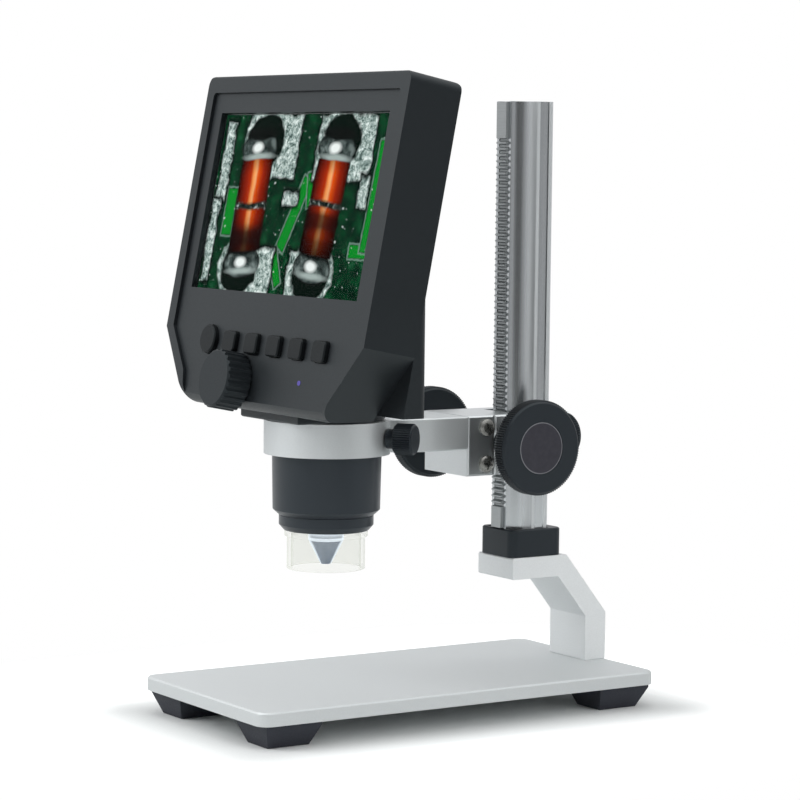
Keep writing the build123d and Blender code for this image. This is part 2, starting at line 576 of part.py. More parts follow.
def rear_housing():
    """Rear cover: a plate inside the slab's back, the wedge box under it and the round tower."""
    outside = wedge()
    outside = fillet(outside.edges().filter_by(Axis.Z), WEDGE_R)
    hollow = wedge(WALL) & (SCREEN.location * Pos(0, 0, -60) * prism(head_outline(WALL + 0.1), 60))
    shell = outside + behind_slab(tower()) - hollow - behind_slab(tower(WALL))
    cover = head_outline(WALL + 0.1) - Pos(0, -80) * Rectangle(200, 96)
    shell += panel_cut(cover, BACK + WALL, BACK)
    shell -= neck_bore()
    for u, v in screw_posts():
        shell -= panel_cut(Pos(u, v) * Circle(HOUSING_SCREW_R + HOLD), 0, -30)
        shell -= panel_cut(Pos(u, v) * Circle(HOUSING_SCREW_HEAD_R + 0.05), BACK + 1.0, -30)
    return shell


def housing_screws():
    screw = Rot(180, 0, 0) * pan_screw(HOUSING_SCREW_R, HOUSING_SCREW_L, HOUSING_SCREW_HEAD_R, 0.9)
    return [SCREEN.location * Pos(u, v, BACK + 1.0) * screw for u, v in screw_posts()]


# ---- screen head: what it holds ----

def display_window():
    return panel_cut(RectangleRounded(SCREEN_W + 0.3, SCREEN_H + 0.3, 0.4), PANEL - 0.4, INNER)


def lcd_module():
    """Display panel in its tin frame, whose rim stands a little above the glass."""
    wide, high = SCREEN_W + 2 * PANEL_BORDER[0], SCREEN_H + 2 * PANEL_BORDER[1]
    frame = panel_cut(RectangleRounded(wide, high, 0.8), INNER, INNER - PANEL_T)
    return frame - panel_cut(Rectangle(SCREEN_W + 1.0, SCREEN_H + 1.0), INNER + 1, INNER - 0.15)


def main_board():
    """Board behind the panel, with its processor and memory on the back."""
    top = INNER - PANEL_T
    wide, high = SCREEN_W + 2 * PANEL_BORDER[0] - 1.0, SCREEN_H + 2 * PANEL_BORDER[1] - 4.0
    body = panel_cut(Pos(0, 1.0) * Rectangle(wide, high), top, top - BOARD_T)
    for u, v, wide, high in CHIPS:
        body += panel_cut(Pos(u, v) * Rectangle(wide, high), top - BOARD_T + 0.1, top - BOARD_T - CHIP_T)
    return body


def battery():
    front = INNER - PANEL_T - BOARD_T - CHIP_T - BATTERY_GAP
    pouch = Pos(BATTERY_U, BATTERY_V) * RectangleRounded(BATTERY_W, BATTERY_H, 2.0)
    return panel_cut(pouch, front, BACK + WALL)


def socket(v, wide):
    """Metal shell of a socket on the board's left edge, open to the outside."""
    return socket_box(v, wide, 0) - socket_box(v, wide, SOCKET_WALL)


def socket_box(v, wide, inset):
    """Outside of a socket's shell; an inset over 0 gives its mouth and one under 0 the hole for it."""
    base, mouth = INNER - PANEL_T - BOARD_T, 0.75 - HEAD_HALF
    ends = (mouth if inset == 0 else mouth - 4.0, mouth + SOCKET_DEEP - 2 * inset)
    return SCREEN.location * block(ends, (v - wide / 2 + inset, v + wide / 2 - inset),
                                   (base - SOCKET_T + inset, base - inset))


def keypad_board():
    outline = Pos(KEYPAD_U, BUTTON_V) * Rectangle(KEYPAD_W, KEYPAD_H)
    outline += Pos(KEYPAD_U, BUTTON_V + KEYPAD_H / 2 + 0.4) * Rectangle(KEYPAD_W - 13.0, 4.4)
    return panel_cut(outline, INNER - 2.0, INNER - 2.0 - BOARD_T)


def indicator_led():
    spot = Pos(LAMP_U, LAMP_V)
    return panel_cut(spot * Circle(LAMP_R), PANEL + 0.2, INNER - 0.6) + panel_cut(
        spot * Rectangle(3.2, 2.6), INNER, INNER - 0.9)


def key_button(u):
    """Rounded square key: cap proud of the panel, flange trapped behind it."""
    spot, edge = Pos(u, BUTTON_V), 2 * BUTTON_HIDDEN
    cap = spot * RectangleRounded(BUTTON_W, BUTTON_H, 1.2)
    return button_solid(cap, spot * Rectangle(BUTTON_W + edge, BUTTON_H + edge))


def power_button():
    spot = Pos(POWER_U, BUTTON_V)
    return button_solid(spot * Circle(POWER_R), spot * Circle(POWER_R + BUTTON_HIDDEN))


def button_solid(cap, flange):
    key = prism(cap, BUTTON_PROUD + WALL + 0.1)
    key = chamfer(key.edges().group_by(Axis.Z)[-1], 0.4)
    key = Pos(0, 0, INNER - 0.1) * key + Pos(0, 0, INNER - 0.1 - BUTTON_FLANGE) * prism(
        flange, BUTTON_FLANGE)
    return SCREEN.location * key


# ---- lens barrel ----

def neck_plate():
    """Plate between the head and the ring, straight in front and round behind, bored for the focus rack."""
    front_half = Pos(0, (LENS_Y + NECK_FRONT) / 2) * Rectangle(NECK_W, LENS_Y - NECK_FRONT)
    plan = Pos(0, LENS_Y) * Circle(NECK_R) + front_half
    body = Pos(0, 0, NECK_LOW) * prism(plan, HEAD_LOW - NECK_LOW)
    body = chamfer(body.edges().group_by(Axis.Z)[0], 0.4)
    body -= Pos(0, LENS_Y, 0) * rod(6.0, 80, 100)
    return body - carrier_bar(FREE, 70, 120)


def barrel():
    """Moulded tube through the ring, tapering a little below it, with an inner ledge at its lower end."""
    inner = BARREL_R - BARREL_WALL
    return turned([(inner, NECK_LOW), (BARREL_R, NECK_LOW), (BARREL_R, ARM_LOW), (16.1, BARREL_END),
                   (NOSE_R, NOSE_TOP), (NOSE_BORE_R, NOSE_TOP), (NOSE_BORE_R, NOSE_TOP + 1.6),
                   (inner, NOSE_TOP + 1.6)])


def nose_ring():
    """Ring that holds the clear shield against the barrel."""
    spigot = NOSE_BORE_R - HOLD
    return turned([(spigot, NOSE_TOP + 1.6), (spigot, NOSE_TOP), (NOSE_R, NOSE_TOP - 0.02),
                   (NOSE_R, 59.0), (12.7, NOSE_LOW), (SPIGOT_R, NOSE_LOW), (SPIGOT_R, NOSE_TOP + 1.6)])


def light_shield():
    """Clear cap: a lip under the nose ring, a spigot inside it, open at the bottom."""
    spigot, inner = SPIGOT_R - HOLD, SHIELD_R - SHIELD_WALL
    return turned([(inner, SHIELD_LOW), (SHIELD_R, SHIELD_LOW), (SHIELD_R, 55.3), (SHIELD_LIP_R, 55.6),
                   (SHIELD_LIP_R, NOSE_LOW), (spigot, NOSE_LOW), (spigot, 59.8), (9.5, 59.8),
                   (9.5, 56.5), (inner, 56.0)])


def led_board():
    low = NOSE_TOP + 1.6
    ring = Circle(BARREL_R - BARREL_WALL - 0.1) - Circle(CARRIER_R + 0.35)
    return Pos(0, LENS_Y, low) * prism(ring, BOARD_T)


def ring_leds():
    """Eight light-emitting diodes under their board, round the lens."""
    led = Pos(0, 0, -LED_SIZE[2] / 2) * Box(*LED_SIZE)
    return [Pos(0, LENS_Y, NOSE_TOP + 1.6) * Rot(0, 0, 360 * i / LED_COUNT) * Pos(LED_RING_R, 0, 0) * led
            for i in range(LED_COUNT)]


def sensor_board():
    board = rod(SENSOR_R, NECK_LOW - BOARD_T, NECK_LOW) + rod(2.0, NECK_LOW, NECK_LOW + 1.6)
    return Pos(0, LENS_Y, 0) * board


def image_sensor():
    return Pos(0, LENS_Y, NECK_LOW - BOARD_T - 0.5) * Box(SENSOR_SIZE, SENSOR_SIZE, 1.0)


# ---- focus drive ----

def focus_point(depth):
    """Point on the focus shaft, a depth behind the screen."""
    return SCREEN.from_local_coords(Vector(FOCUS_U, FOCUS_V, -depth))


def focus_bush():
    return panel_cut(Pos(FOCUS_U, FOCUS_V) * (Circle(3.0) - Circle(FOCUS_SHAFT_R + RUN)), PANEL, INNER - 1.4)


def focus_knob():
    """Coarsely fluted knob with a flat face inside a fine bevel."""
    flutes = PolarLocations(FOCUS_KNOB_R + 0.55, 24) * Cylinder(0.95, 60)
    body = Cylinder(FOCUS_KNOB_R, FOCUS_KNOB_T, align=(Align.CENTER, Align.CENTER, Align.MIN))
    body = chamfer(body.edges().group_by(Axis.Z)[-1], 0.7)
    body = body - flutes - rod(FOCUS_SHAFT_R + HOLD, -1, 5.5)
    return SCREEN.location * Pos(FOCUS_U, FOCUS_V, PANEL + FREE) * body


def focus_shaft():
    """Shaft through the head with a fine pinion on its inner end."""
    start, end = -FOCUS_DEPTH - 1.8, PANEL + FREE + 5.5
    gear = Pos(0, 0, -FOCUS_DEPTH - 1.5) * involute_gear(FOCUS_MODULE, FOCUS_TEETH, 3.0)
    return SCREEN.location * Pos(FOCUS_U, FOCUS_V, 0) * (rod(FOCUS_SHAFT_R, start, end) + gear)


def carrier_bar(grow, low, high):
    """Upright bar beside the lens axis that carries the focus rack."""
    y = focus_point(FOCUS_DEPTH).Y
    x = FOCUS_U + (FOCUS_TEETH / 2 - 1) * FOCUS_MODULE
    return block((x - grow, x + 2.2 + grow), (y - 1.4 - grow, y + 1.4 + grow), (low, high))


def lens_carrier():
    """Tube that holds the objective and slides in the barrel, with the inclined rack on its bar."""
    middle = focus_point(FOCUS_DEPTH)
    low, high, flange = CARRIER_LOW, CARRIER_HIGH, CARRIER_HIGH - CARRIER_FLANGE
    tube = Pos(0, LENS_Y, 0) * (rod(CARRIER_R, low, high) + rod(12.0, flange, high))
    bar = carrier_bar(0, flange, 105.0)
    pitch_x = middle.X + FOCUS_MODULE * FOCUS_TEETH / 2
    edge = rack_edge(FOCUS_MODULE, -12, 18)
    gaps = [(pitch_x - FOCUS_MODULE + depth, along) for along, depth in edge]
    teeth = Polygon((pitch_x - 3, edge[0][0]), *gaps, (pitch_x - 3, edge[-1][0]), align=None)
    cutter = Plane(origin=(0, middle.Y, middle.Z), x_dir=(1, 0, 0), z_dir=SCREEN.z_dir).location * (
        Pos(0, 0, -4) * prism(teeth, 8))
    return tube + (bar - cutter) - Pos(0, LENS_Y, 0) * rod(CARRIER_R - 1.6, low - 1, high + 1)


def objective_lens():
    """Cone-shaped lens mount with its front glass in the tip."""
    return turned([(0, LENS_TIP), (1.6, LENS_TIP), (LENS_R, LENS_SHOULDER), (LENS_R, 61.0),
                   (CARRIER_R - 1.6 - HOLD, 61.0), (CARRIER_R - 1.6 - HOLD, 72.0), (0, 72.0)])


# ---- export ----

def save(name, shape):
    solids = shape if isinstance(shape, list) else [shape]
    flat = [s for item in solids for s in item.solids()]
    export_step(flat[0] if len(flat) == 1 else Compound(children=flat), f"parts/{name}.step")


def build():
    feet = ("front_left", "front_right", "back_left", "back_right")
    parts = {f"foot_{name}": foot(*spot) for name, spot in zip(feet, foot_places())}
    for make in (base_plate, foot_screws, column_bracket, bracket_screws, column_bolt, column, rack,
                 column_collar, collar_grub_screw, carriage_block, front_block, cheek_screws, ring_arm,
                 arm_screws, shaft_bushes, pinion_shaft, knob_caps, lock_stud, lock_knob, thumb_stud,
                 thumb_knob, front_housing, rear_housing, housing_screws, display_window, lcd_module,
                 main_board, battery, keypad_board, indicator_led, power_button, neck_plate, barrel,
                 nose_ring, light_shield, led_board, ring_leds, sensor_board, image_sensor, focus_bush,
                 focus_knob, focus_shaft, lens_carrier, objective_lens):
        parts[make.__name__] = make()
    parts["drive_knob_right"], parts["drive_knob_left"] = drive_knob(1), drive_knob(-1)
    parts["usb_socket"], parts["card_socket"] = (socket(*place) for place in SOCKETS)
    for number, (u, _) in enumerate(button_places(), 1):
        parts[f"key_button_{number}"] = key_button(u)
    return parts


if __name__ == "__main__":
    os.makedirs("parts", exist_ok=True)
    for node, shape in build().items():
        save(node, shape)
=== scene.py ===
# %% [markdown]
# # A digital microscope on a rack-and-pinion stand
# The solids come from the part's own CAD, so every size and joint is already right. What is left to do here
# is what a moulder, an anodiser and a photographer would do: give each piece its surface, round the edges
# that a tool would round, light it plainly and set a camera. Lengths are in metres unless a name or a
# comment says mm.

# %% Load the solids as a fixed frame
import json
from math import cos, pi, radians, sin
import bmesh
import bpy
from mathutils import Matrix, Vector

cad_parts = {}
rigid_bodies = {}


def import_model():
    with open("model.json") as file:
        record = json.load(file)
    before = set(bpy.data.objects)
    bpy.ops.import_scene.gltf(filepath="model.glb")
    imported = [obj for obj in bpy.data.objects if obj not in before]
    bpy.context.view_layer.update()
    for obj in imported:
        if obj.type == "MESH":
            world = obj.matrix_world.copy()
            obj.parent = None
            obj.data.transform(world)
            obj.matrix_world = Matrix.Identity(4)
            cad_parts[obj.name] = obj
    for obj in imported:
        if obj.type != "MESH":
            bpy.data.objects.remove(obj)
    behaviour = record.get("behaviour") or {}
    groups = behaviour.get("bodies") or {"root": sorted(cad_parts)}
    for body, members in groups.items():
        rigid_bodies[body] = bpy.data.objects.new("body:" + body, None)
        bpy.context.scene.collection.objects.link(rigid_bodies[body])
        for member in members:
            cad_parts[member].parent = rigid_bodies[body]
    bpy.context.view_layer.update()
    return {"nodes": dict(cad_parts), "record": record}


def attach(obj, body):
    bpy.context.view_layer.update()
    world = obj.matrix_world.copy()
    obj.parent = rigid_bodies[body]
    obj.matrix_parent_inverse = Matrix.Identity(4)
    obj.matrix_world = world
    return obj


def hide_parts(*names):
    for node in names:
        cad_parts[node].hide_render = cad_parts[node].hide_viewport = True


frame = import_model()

# %% [markdown]
# ## The camera
# A long lens from far off keeps the column's sides nearly parallel. The camera stands to the right of the
# front and looks slightly down. The view is built from three angles, so that the matrix has no hidden
# turns in it.

# %% Camera
TURN, DIP, ROLL = radians(56.95), radians(4.75), radians(0.64)
CAMERA_AT = (0.73238, -0.47845, 0.16779)
right = Vector((cos(TURN), sin(TURN), 0))
ahead = Vector((-sin(TURN) * cos(DIP), cos(TURN) * cos(DIP), -sin(DIP)))
above = right.cross(ahead)
side = cos(ROLL) * right + sin(ROLL) * above
top = -sin(ROLL) * right + cos(ROLL) * above

camera_data = bpy.data.cameras.new("camera")
camera_data.lens, camera_data.sensor_width = 130.13, 36.0
camera_data.clip_start, camera_data.clip_end = 0.05, 50.0
camera = bpy.data.objects.new("camera", camera_data)
bpy.context.collection.objects.link(camera)
turned = Matrix((side, top, -ahead)).transposed().to_4x4()
camera.matrix_world = Matrix.Translation(CAMERA_AT) @ turned
bpy.context.scene.camera = camera
bpy.context.scene.view_settings.view_transform = "Standard"
print("camera looks along", [round(v, 3) for v in ahead])

# %% [markdown]
# ## Colours and nodes
# Colours are written as they look on a screen and turned into the linear values that light is worked out in.
# One helper adds any node, sets its values and joins its inputs. The others start a material, close it, and
# spread colours along a value.


# %% Helpers for materials
def colour(code):
    """Screen colour such as "#808080" as linear red, green, blue and alpha."""
    parts = [int(code[i:i + 2], 16) / 255 for i in (1, 3, 5)]
    return (*[p / 12.92 if p <= 0.04045 else ((p + 0.055) / 1.055) ** 2.4 for p in parts], 1.0)


def add(tree, kind, settings=None, **inputs):
    """Add a node. An input that is another node, or one of its outputs, is linked, and any other value is
    set. A node means its first output. The name i0 is the first socket, where several share a name."""
    node = tree.nodes.new(kind)
    for name, value in (settings or {}).items():
        setattr(node, name, value)
    for name, value in inputs.items():
        key = int(name[1:]) if name[0] == "i" and name[1:].isdigit() else name.replace("_", " ")
        socket = node.inputs[key]
        value = value.outputs[0] if isinstance(value, bpy.types.Node) else value
        if isinstance(value, bpy.types.NodeSocket):
            tree.links.new(value, socket)
        else:
            socket.default_value = value
    return node


def new_material(name):
    """An empty material, with its tree and the Object coordinates in metres."""
    material = bpy.data.materials.new(name)
    material.use_nodes = True
    tree = material.node_tree
    tree.nodes.clear()
    where = add(tree, "ShaderNodeTexCoord").outputs["Object"]
    print("material", name)
    return material, tree, where


def finish_material(tree, shader):
    add(tree, "ShaderNodeOutputMaterial", Surface=shader)


def ramp(tree, value, stops):
    """Colours along a value, from pairs of a place and a linear colour. A plain number means a grey."""
    low, high = stops[0][0], stops[-1][0]
    stops = [(place, tone if isinstance(tone, tuple) else (tone, tone, tone, 1)) for place, tone in stops]
    share = add(tree, "ShaderNodeMapRange", Value=value, From_Min=low, From_Max=high)
    node = add(tree, "ShaderNodeValToRGB", Fac=share)
    elements = node.color_ramp.elements
    elements[0].color, elements[-1].color = stops[0][1], stops[-1][1]
    for place, tone in stops[1:-1]:
        elements.new((place - low) / (high - low)).color = tone
    return node.outputs["Color"]


print("mid grey in linear light:", round(colour("#808080")[0], 3))

# %% [markdown]
# ## What the gloss reflects
# Shiny pieces mirror the room. It is bright to the left, greyer in front and behind, and dark to the right.
# So upright metal here shows bright and dark stripes. The walls are one node group, because a face that
# looks at the camera mirrors the far floor as much as the wall above it, and both have to match.

# %% Walls of the room
WALL_LEVELS = (  # bearing in degrees, 0 to the right and 90 behind, and brightness
    (-180, 0.70), (-147, 0.80), (-100, 0.64), (-68, 0.49), (-33, 0.49), (-18, 0.38), (-5, 0.08), (18, 0.03),
    (28, 0.18), (36, 0.42), (44, 0.38), (54, 0.25), (90, 0.46), (147, 0.85), (180, 0.70))
COOLNESS = 1.02     # the blue of the walls over their red and green
walls = bpy.data.node_groups.new("room_walls", "ShaderNodeTree")
walls.interface.new_socket("Towards", in_out="INPUT", socket_type="NodeSocketVector")
walls.interface.new_socket("Color", in_out="OUTPUT", socket_type="NodeSocketColor")
towards = add(walls, "ShaderNodeSeparateXYZ", Vector=add(walls, "NodeGroupInput").outputs[0])
bearing = add(walls, "ShaderNodeMath", {"operation": "ARCTAN2"}, i0=towards.outputs["Y"],
              i1=towards.outputs["X"])
add(walls, "NodeGroupOutput", Color=ramp(walls, bearing.outputs[0], [
    (radians(degrees), (level, level, level * COOLNESS, 1)) for degrees, level in WALL_LEVELS]))
print("wall stops", len(WALL_LEVELS))

# %% [markdown]
# ## The floor
# The object stands on white paper. Under the stage plate the paper is only lit by what gets there, so the
# shadow is real. Away from the plate the paper is lifted to white, first a little and then fully, and never
# by more light on the object. Only the camera and clear plastic see that lift. The gloss sees the paper as
# it is lit, and further out it sees the room. All other rays see plain paper.

# %% Floor, and the distance from the plate
PLATE_HALF = (0.03575, 0.0705, 0)


def flat_object(name, corners):
    mesh = bpy.data.meshes.new(name)
    mesh.from_pydata(corners, [], [(0, 1, 2, 3)])
    thing = bpy.data.objects.new(name, mesh)
    bpy.context.collection.objects.link(thing)
    return thing


floor = flat_object("floor", [(-9, -9, 0), (9, -9, 0), (9, 9, 0), (-9, 9, 0)])
paper, tree, where = new_material("white_paper_sweep")
seen = add(tree, "ShaderNodeLightPath")
by_gloss = seen.outputs["Is Glossy Ray"]
outward = add(tree, "ShaderNodeVectorMath", {"operation": "ABSOLUTE"}, i0=where)
outward = add(tree, "ShaderNodeVectorMath", {"operation": "SUBTRACT"}, i0=outward, i1=PLATE_HALF)
outward = add(tree, "ShaderNodeVectorMath", {"operation": "MAXIMUM"}, i0=outward, i1=(0, 0, 0))
outward = add(tree, "ShaderNodeVectorMath", {"operation": "LENGTH"}, i0=outward).outputs["Value"]
print("floor outside a plate of", [round(2000 * half, 1) for half in PLATE_HALF[:2]], "mm")

# %% [markdown]
# Two masks grow with that distance. `near` is a glow that is nil at the plate's edge and full 30 mm out, so
# it paints a soft shade round the plate. `far` swaps the paper for pure white, or for the room where the
# gloss looks. The gloss keeps the real paper for longer, so the foot of the column and the barrel mirror
# white paper.

# %% Paper
FIBRES_PER_M = 900.0
GLOW_REACH, GLOW = 0.030, 0.55
CAMERA_FROM, CAMERA_TO = 0.03, 0.10     # where the camera's white begins and is full
GLOSS_FROM, GLOSS_TO = 0.30, 1.00       # the same for the room in the gloss
# Painted shade: the glow is nil at the plate and only full past GLOW_REACH, so the paper is darker round it.
near = add(tree, "ShaderNodeMapRange", {"interpolation_type": "SMOOTHSTEP"}, Value=outward, From_Min=0.0,
           From_Max=GLOW_REACH, To_Min=0.0, To_Max=GLOW)
not_gloss = add(tree, "ShaderNodeMath", {"operation": "SUBTRACT"}, i0=1.0, i1=by_gloss)
near = add(tree, "ShaderNodeMath", {"operation": "MULTIPLY"}, i0=near, i1=not_gloss)
far_from = add(tree, "ShaderNodeMapRange", Value=by_gloss, To_Min=CAMERA_FROM, To_Max=GLOSS_FROM)
far_full = add(tree, "ShaderNodeMapRange", Value=by_gloss, To_Min=CAMERA_TO, To_Max=GLOSS_TO)
far = add(tree, "ShaderNodeMapRange", {"interpolation_type": "SMOOTHSTEP"}, Value=outward,
          From_Min=far_from, From_Max=far_full)

fibres = add(tree, "ShaderNodeTexNoise", Vector=where, Scale=FIBRES_PER_M, Detail=2.0)
matt = add(tree, "ShaderNodeMix", {"data_type": "RGBA"}, i0=fibres.outputs["Fac"], i6=colour("#dfe2e2"),
           i7=colour("#e6e8e8"))
matt = add(tree, "ShaderNodeBsdfDiffuse", Color=matt.outputs[2])
glow = add(tree, "ShaderNodeEmission", Color=colour("#ffffff"), Strength=near)
both = add(tree, "ShaderNodeAddShader", i0=matt, i1=glow)
room = add(tree, "ShaderNodeGroup", {"node_tree": walls}, Towards=where)
afar = add(tree, "ShaderNodeMix", {"data_type": "RGBA"}, i0=by_gloss, i6=colour("#ffffff"), i7=room)
white = add(tree, "ShaderNodeEmission", Color=afar.outputs[2], Strength=1.0)
both = add(tree, "ShaderNodeMixShader", i0=far, i1=both, i2=white)

lifted = add(tree, "ShaderNodeMath", {"operation": "MAXIMUM"}, i0=seen.outputs["Is Camera Ray"], i1=by_gloss)
lifted = add(tree, "ShaderNodeMath", {"operation": "MAXIMUM"}, i0=lifted,
             i1=seen.outputs["Is Transmission Ray"])
plain = add(tree, "ShaderNodeBsdfDiffuse", Color=colour("#dcdede"))
finish_material(tree, add(tree, "ShaderNodeMixShader", i0=lifted, i1=plain, i2=both))
floor.data.materials.append(paper)
print("paper nodes", len(tree.nodes))

# %% [markdown]
# ## The world
# Light from all round fills the shadows a little. The camera and clear plastic see pure white behind the
# object, and the gloss sees the walls, which pass into a pale ceiling.

# %% World
AMBIENT = 0.37
world = bpy.data.worlds.new("studio")
bpy.context.scene.world = world
world.use_nodes = True
tree = world.node_tree
tree.nodes.clear()
seen = add(tree, "ShaderNodeLightPath")
direction = add(tree, "ShaderNodeTexCoord").outputs["Generated"]
parts = add(tree, "ShaderNodeSeparateXYZ", Vector=direction)
around = add(tree, "ShaderNodeGroup", {"node_tree": walls}, Towards=direction)
height = add(tree, "ShaderNodeMapRange", {"interpolation_type": "SMOOTHSTEP"}, Value=parts.outputs["Z"],
             From_Min=0.25, From_Max=0.75)
room = add(tree, "ShaderNodeMix", {"data_type": "RGBA"}, i0=height, i6=around, i7=(0.75, 0.76, 0.77, 1))
ambient = add(tree, "ShaderNodeBackground", Color=colour("#ffffff"), Strength=AMBIENT)
mirror = add(tree, "ShaderNodeBackground", Color=room.outputs[2], Strength=1.0)
white = add(tree, "ShaderNodeBackground", Color=colour("#ffffff"), Strength=1.0)
mixed = add(tree, "ShaderNodeMixShader", i0=seen.outputs["Is Glossy Ray"], i1=ambient, i2=mirror)
clear_view = add(tree, "ShaderNodeMath", {"operation": "MAXIMUM"}, i0=seen.outputs["Is Camera Ray"],
                 i1=seen.outputs["Is Transmission Ray"])
mixed = add(tree, "ShaderNodeMixShader", i0=clear_view, i1=mixed, i2=white)
add(tree, "ShaderNodeOutputWorld", Surface=mixed)
print("world nodes", len(tree.nodes))

# %% [markdown]
# ## The soft boxes
# A key light from the front left, a large one overhead and a weaker fill from the right. Large lamps give the
# soft edges of a studio shot. The fill is kept out of the gloss, where it would show as a white spot.


# %% Soft boxes
def soft_box(name, place, size, watts, in_gloss=True):
    """A square area light that faces the middle of the object. One left out of the gloss only lights what
    scatters."""
    light = bpy.data.lights.new(name, "AREA")
    light.shape, light.size, light.energy = "SQUARE", size, watts
    lamp = bpy.data.objects.new(name, light)
    lamp.location = place
    lamp.visible_glossy = in_gloss
    lamp.rotation_euler = (Vector((0, 0, 0.08)) - Vector(place)).to_track_quat("-Z", "Y").to_euler()
    bpy.context.collection.objects.link(lamp)


soft_box("key", (-0.55, -1.30, 0.95), 0.9, 13.3)
soft_box("overhead", (0.05, -0.10, 1.50), 2.4, 15.8)
soft_box("fill", (1.40, 0.25, 0.75), 0.9, 8.5, in_gloss=False)

# %% [markdown]
# ## Moulded plastics
# The head is ABS from a spark-eroded tool. The spark leaves pits about 0.1 mm across that scatter light, so
# the black plastic looks dark grey. The pits are drawn 0.35 mm apart, because finer ones would not show. The
# colour itself is nearly black, and most of what is seen is the sheen.

# %% Moulded plastics
PATCHES_PER_M = 45.0     # the colour drifts in patches about 22 mm wide


def moulded(name, code, rough, pit_mm=0.35, depth_mm=0.05, drift=0.12, spread=0.07, sheen=0.42):
    """Textured plastic: fine pits in the relief, and a faint drift in gloss and colour."""
    material, tree, where = new_material(name)
    pits = add(tree, "ShaderNodeTexNoise", Vector=where, Scale=1000 / pit_mm, Detail=3.0, Roughness=0.6)
    broad = add(tree, "ShaderNodeTexNoise", Vector=where, Scale=PATCHES_PER_M, Detail=3.0)
    tint = add(tree, "ShaderNodeMapRange", Value=broad.outputs["Fac"], To_Min=1 - drift, To_Max=1 + drift)
    paint = add(tree, "ShaderNodeVectorMath", {"operation": "SCALE"}, i0=colour(code)[:3], Scale=tint)
    gloss = add(tree, "ShaderNodeMapRange", Value=pits.outputs["Fac"], From_Min=0.3, From_Max=0.7,
                To_Min=rough - spread, To_Max=rough + spread)
    relief = add(tree, "ShaderNodeBump", Strength=0.35, Distance=depth_mm / 1000, Height=pits.outputs["Fac"])
    finish_material(tree, add(tree, "ShaderNodeBsdfPrincipled", Base_Color=paint, Roughness=gloss,
                              Normal=relief, IOR=1.54, Specular_IOR_Level=sheen,
                              Specular_Tint=colour("#e8f6f9")))
    return material


# ABS with a fine spark texture: dark, with a broad soft sheen.
housing_abs = moulded("charcoal_abs_spark_texture", "#191c1f", 0.42, sheen=0.38)
# ABS keys: the same plastic, a little duller.
key_abs = moulded("charcoal_abs_keys", "#101214", 0.46, 0.45, 0.03, sheen=0.20)
# ABS knob with a slate tint, and less sheen than the housing.
knob_abs = moulded("slate_abs_knob", "#202427", 0.42, 0.45, 0.03, sheen=0.22)
# Satin ABS barrel: nearly smooth, so it shows soft upright reflections.
barrel_abs = moulded("satin_black_abs_barrel", "#262a30", 0.32, 1.5, 0.002, 0.05, 0.02, 0.40)
# Rubber feet: blue-black, matt, with a dusty bloom.
foot_rubber = moulded("black_rubber_feet", "#2b2b33", 0.62, 0.6, 0.05, 0.2)
# Black anodised aluminium: dye fills the oxide skin and hides the metal, so it looks like a satin plastic.
black_anodised = moulded("black_anodised_aluminium", "#23272c", 0.36, 0.4, 0.006, 0.06, 0.04, 0.28)

# %% [markdown]
# ## Bright metals
# Clear-anodised aluminium keeps the marks of what shaped it. A bead-blasted face is an even satin, and a
# milled one has faint lines. Lines come from noise that is stretched along one axis. The oxide skin of a
# blasted face scatters part of the light, so its Metallic value is under 1.


# %% Bright metals
def metal(name, code, rough, grain=(1, 1, 1), grain_mm=0.4, depth_mm=0.02, spread=0.08, tint=0.06, bare=1.0):
    """Metal with a grain. A small value in the grain vector makes it long that way. Bare is the share that
    mirrors like bare metal."""
    material, tree, where = new_material(name)
    stretched = add(tree, "ShaderNodeVectorMath", {"operation": "MULTIPLY"}, i0=where, i1=grain)
    lines = add(tree, "ShaderNodeTexNoise", Vector=stretched, Scale=1000 / grain_mm, Detail=4.0)
    tone = add(tree, "ShaderNodeMapRange", Value=lines.outputs["Fac"], From_Min=0.3, From_Max=0.7,
               To_Min=1 - tint, To_Max=1 + tint)
    paint = add(tree, "ShaderNodeVectorMath", {"operation": "SCALE"}, i0=colour(code)[:3], Scale=tone)
    gloss = add(tree, "ShaderNodeMapRange", Value=lines.outputs["Fac"], From_Min=0.3, From_Max=0.7,
                To_Min=rough - spread, To_Max=rough + spread)
    relief = add(tree, "ShaderNodeBump", Strength=0.3, Distance=depth_mm / 1000, Height=lines.outputs["Fac"])
    finish_material(tree, add(tree, "ShaderNodeBsdfPrincipled", Base_Color=paint, Metallic=bare,
                              Roughness=gloss, Normal=relief))
    return material


# Bead-blasted and clear-anodised aluminium of the arm and its ring: an even pale satin.
arm_aluminium = metal("bead_blasted_anodised_arm", "#d5d9da", 0.45, tint=0.03, bare=0.78)
# The milled blocks have a finer satin, so they mirror the black knob beside them.
block_aluminium = metal("fine_satin_anodised_block", "#d3d7d8", 0.33, tint=0.03, spread=0.05, bare=0.90)
# The stage plate, blasted a little more coarsely than the arm, so more of its light is scattered.
plate_aluminium = metal("blasted_anodised_stage_plate", "#d0d4d5", 0.50, tint=0.03, bare=0.35)
# The bent bar, blasted more coarsely still.
bar_aluminium = metal("coarse_blasted_aluminium", "#e6e9ea", 0.55, tint=0.03, bare=0.25)
# Rack strip: milled across, so its lines run sideways.
rack_steel = metal("milled_rack_steel", "#a8acad", 0.38, (0.05, 1, 1), 0.3, 0.002, 0.05, bare=0.8)

# Nickel-plated cross-head screws: smooth and a little warm.
nickel = metal("nickel_plated_screws", "#8c8c88", 0.28, depth_mm=0.003, spread=0.04, bare=0.8)
# Turned shafts and studs: bright, with fine marks.
shaft_steel = metal("turned_shaft_steel", "#b4b5b6", 0.24, grain_mm=0.3)
# Screws with a black oxide finish: dull and nearly black.
black_steel = metal("black_oxide_screws", "#2c2c2e", 0.40)
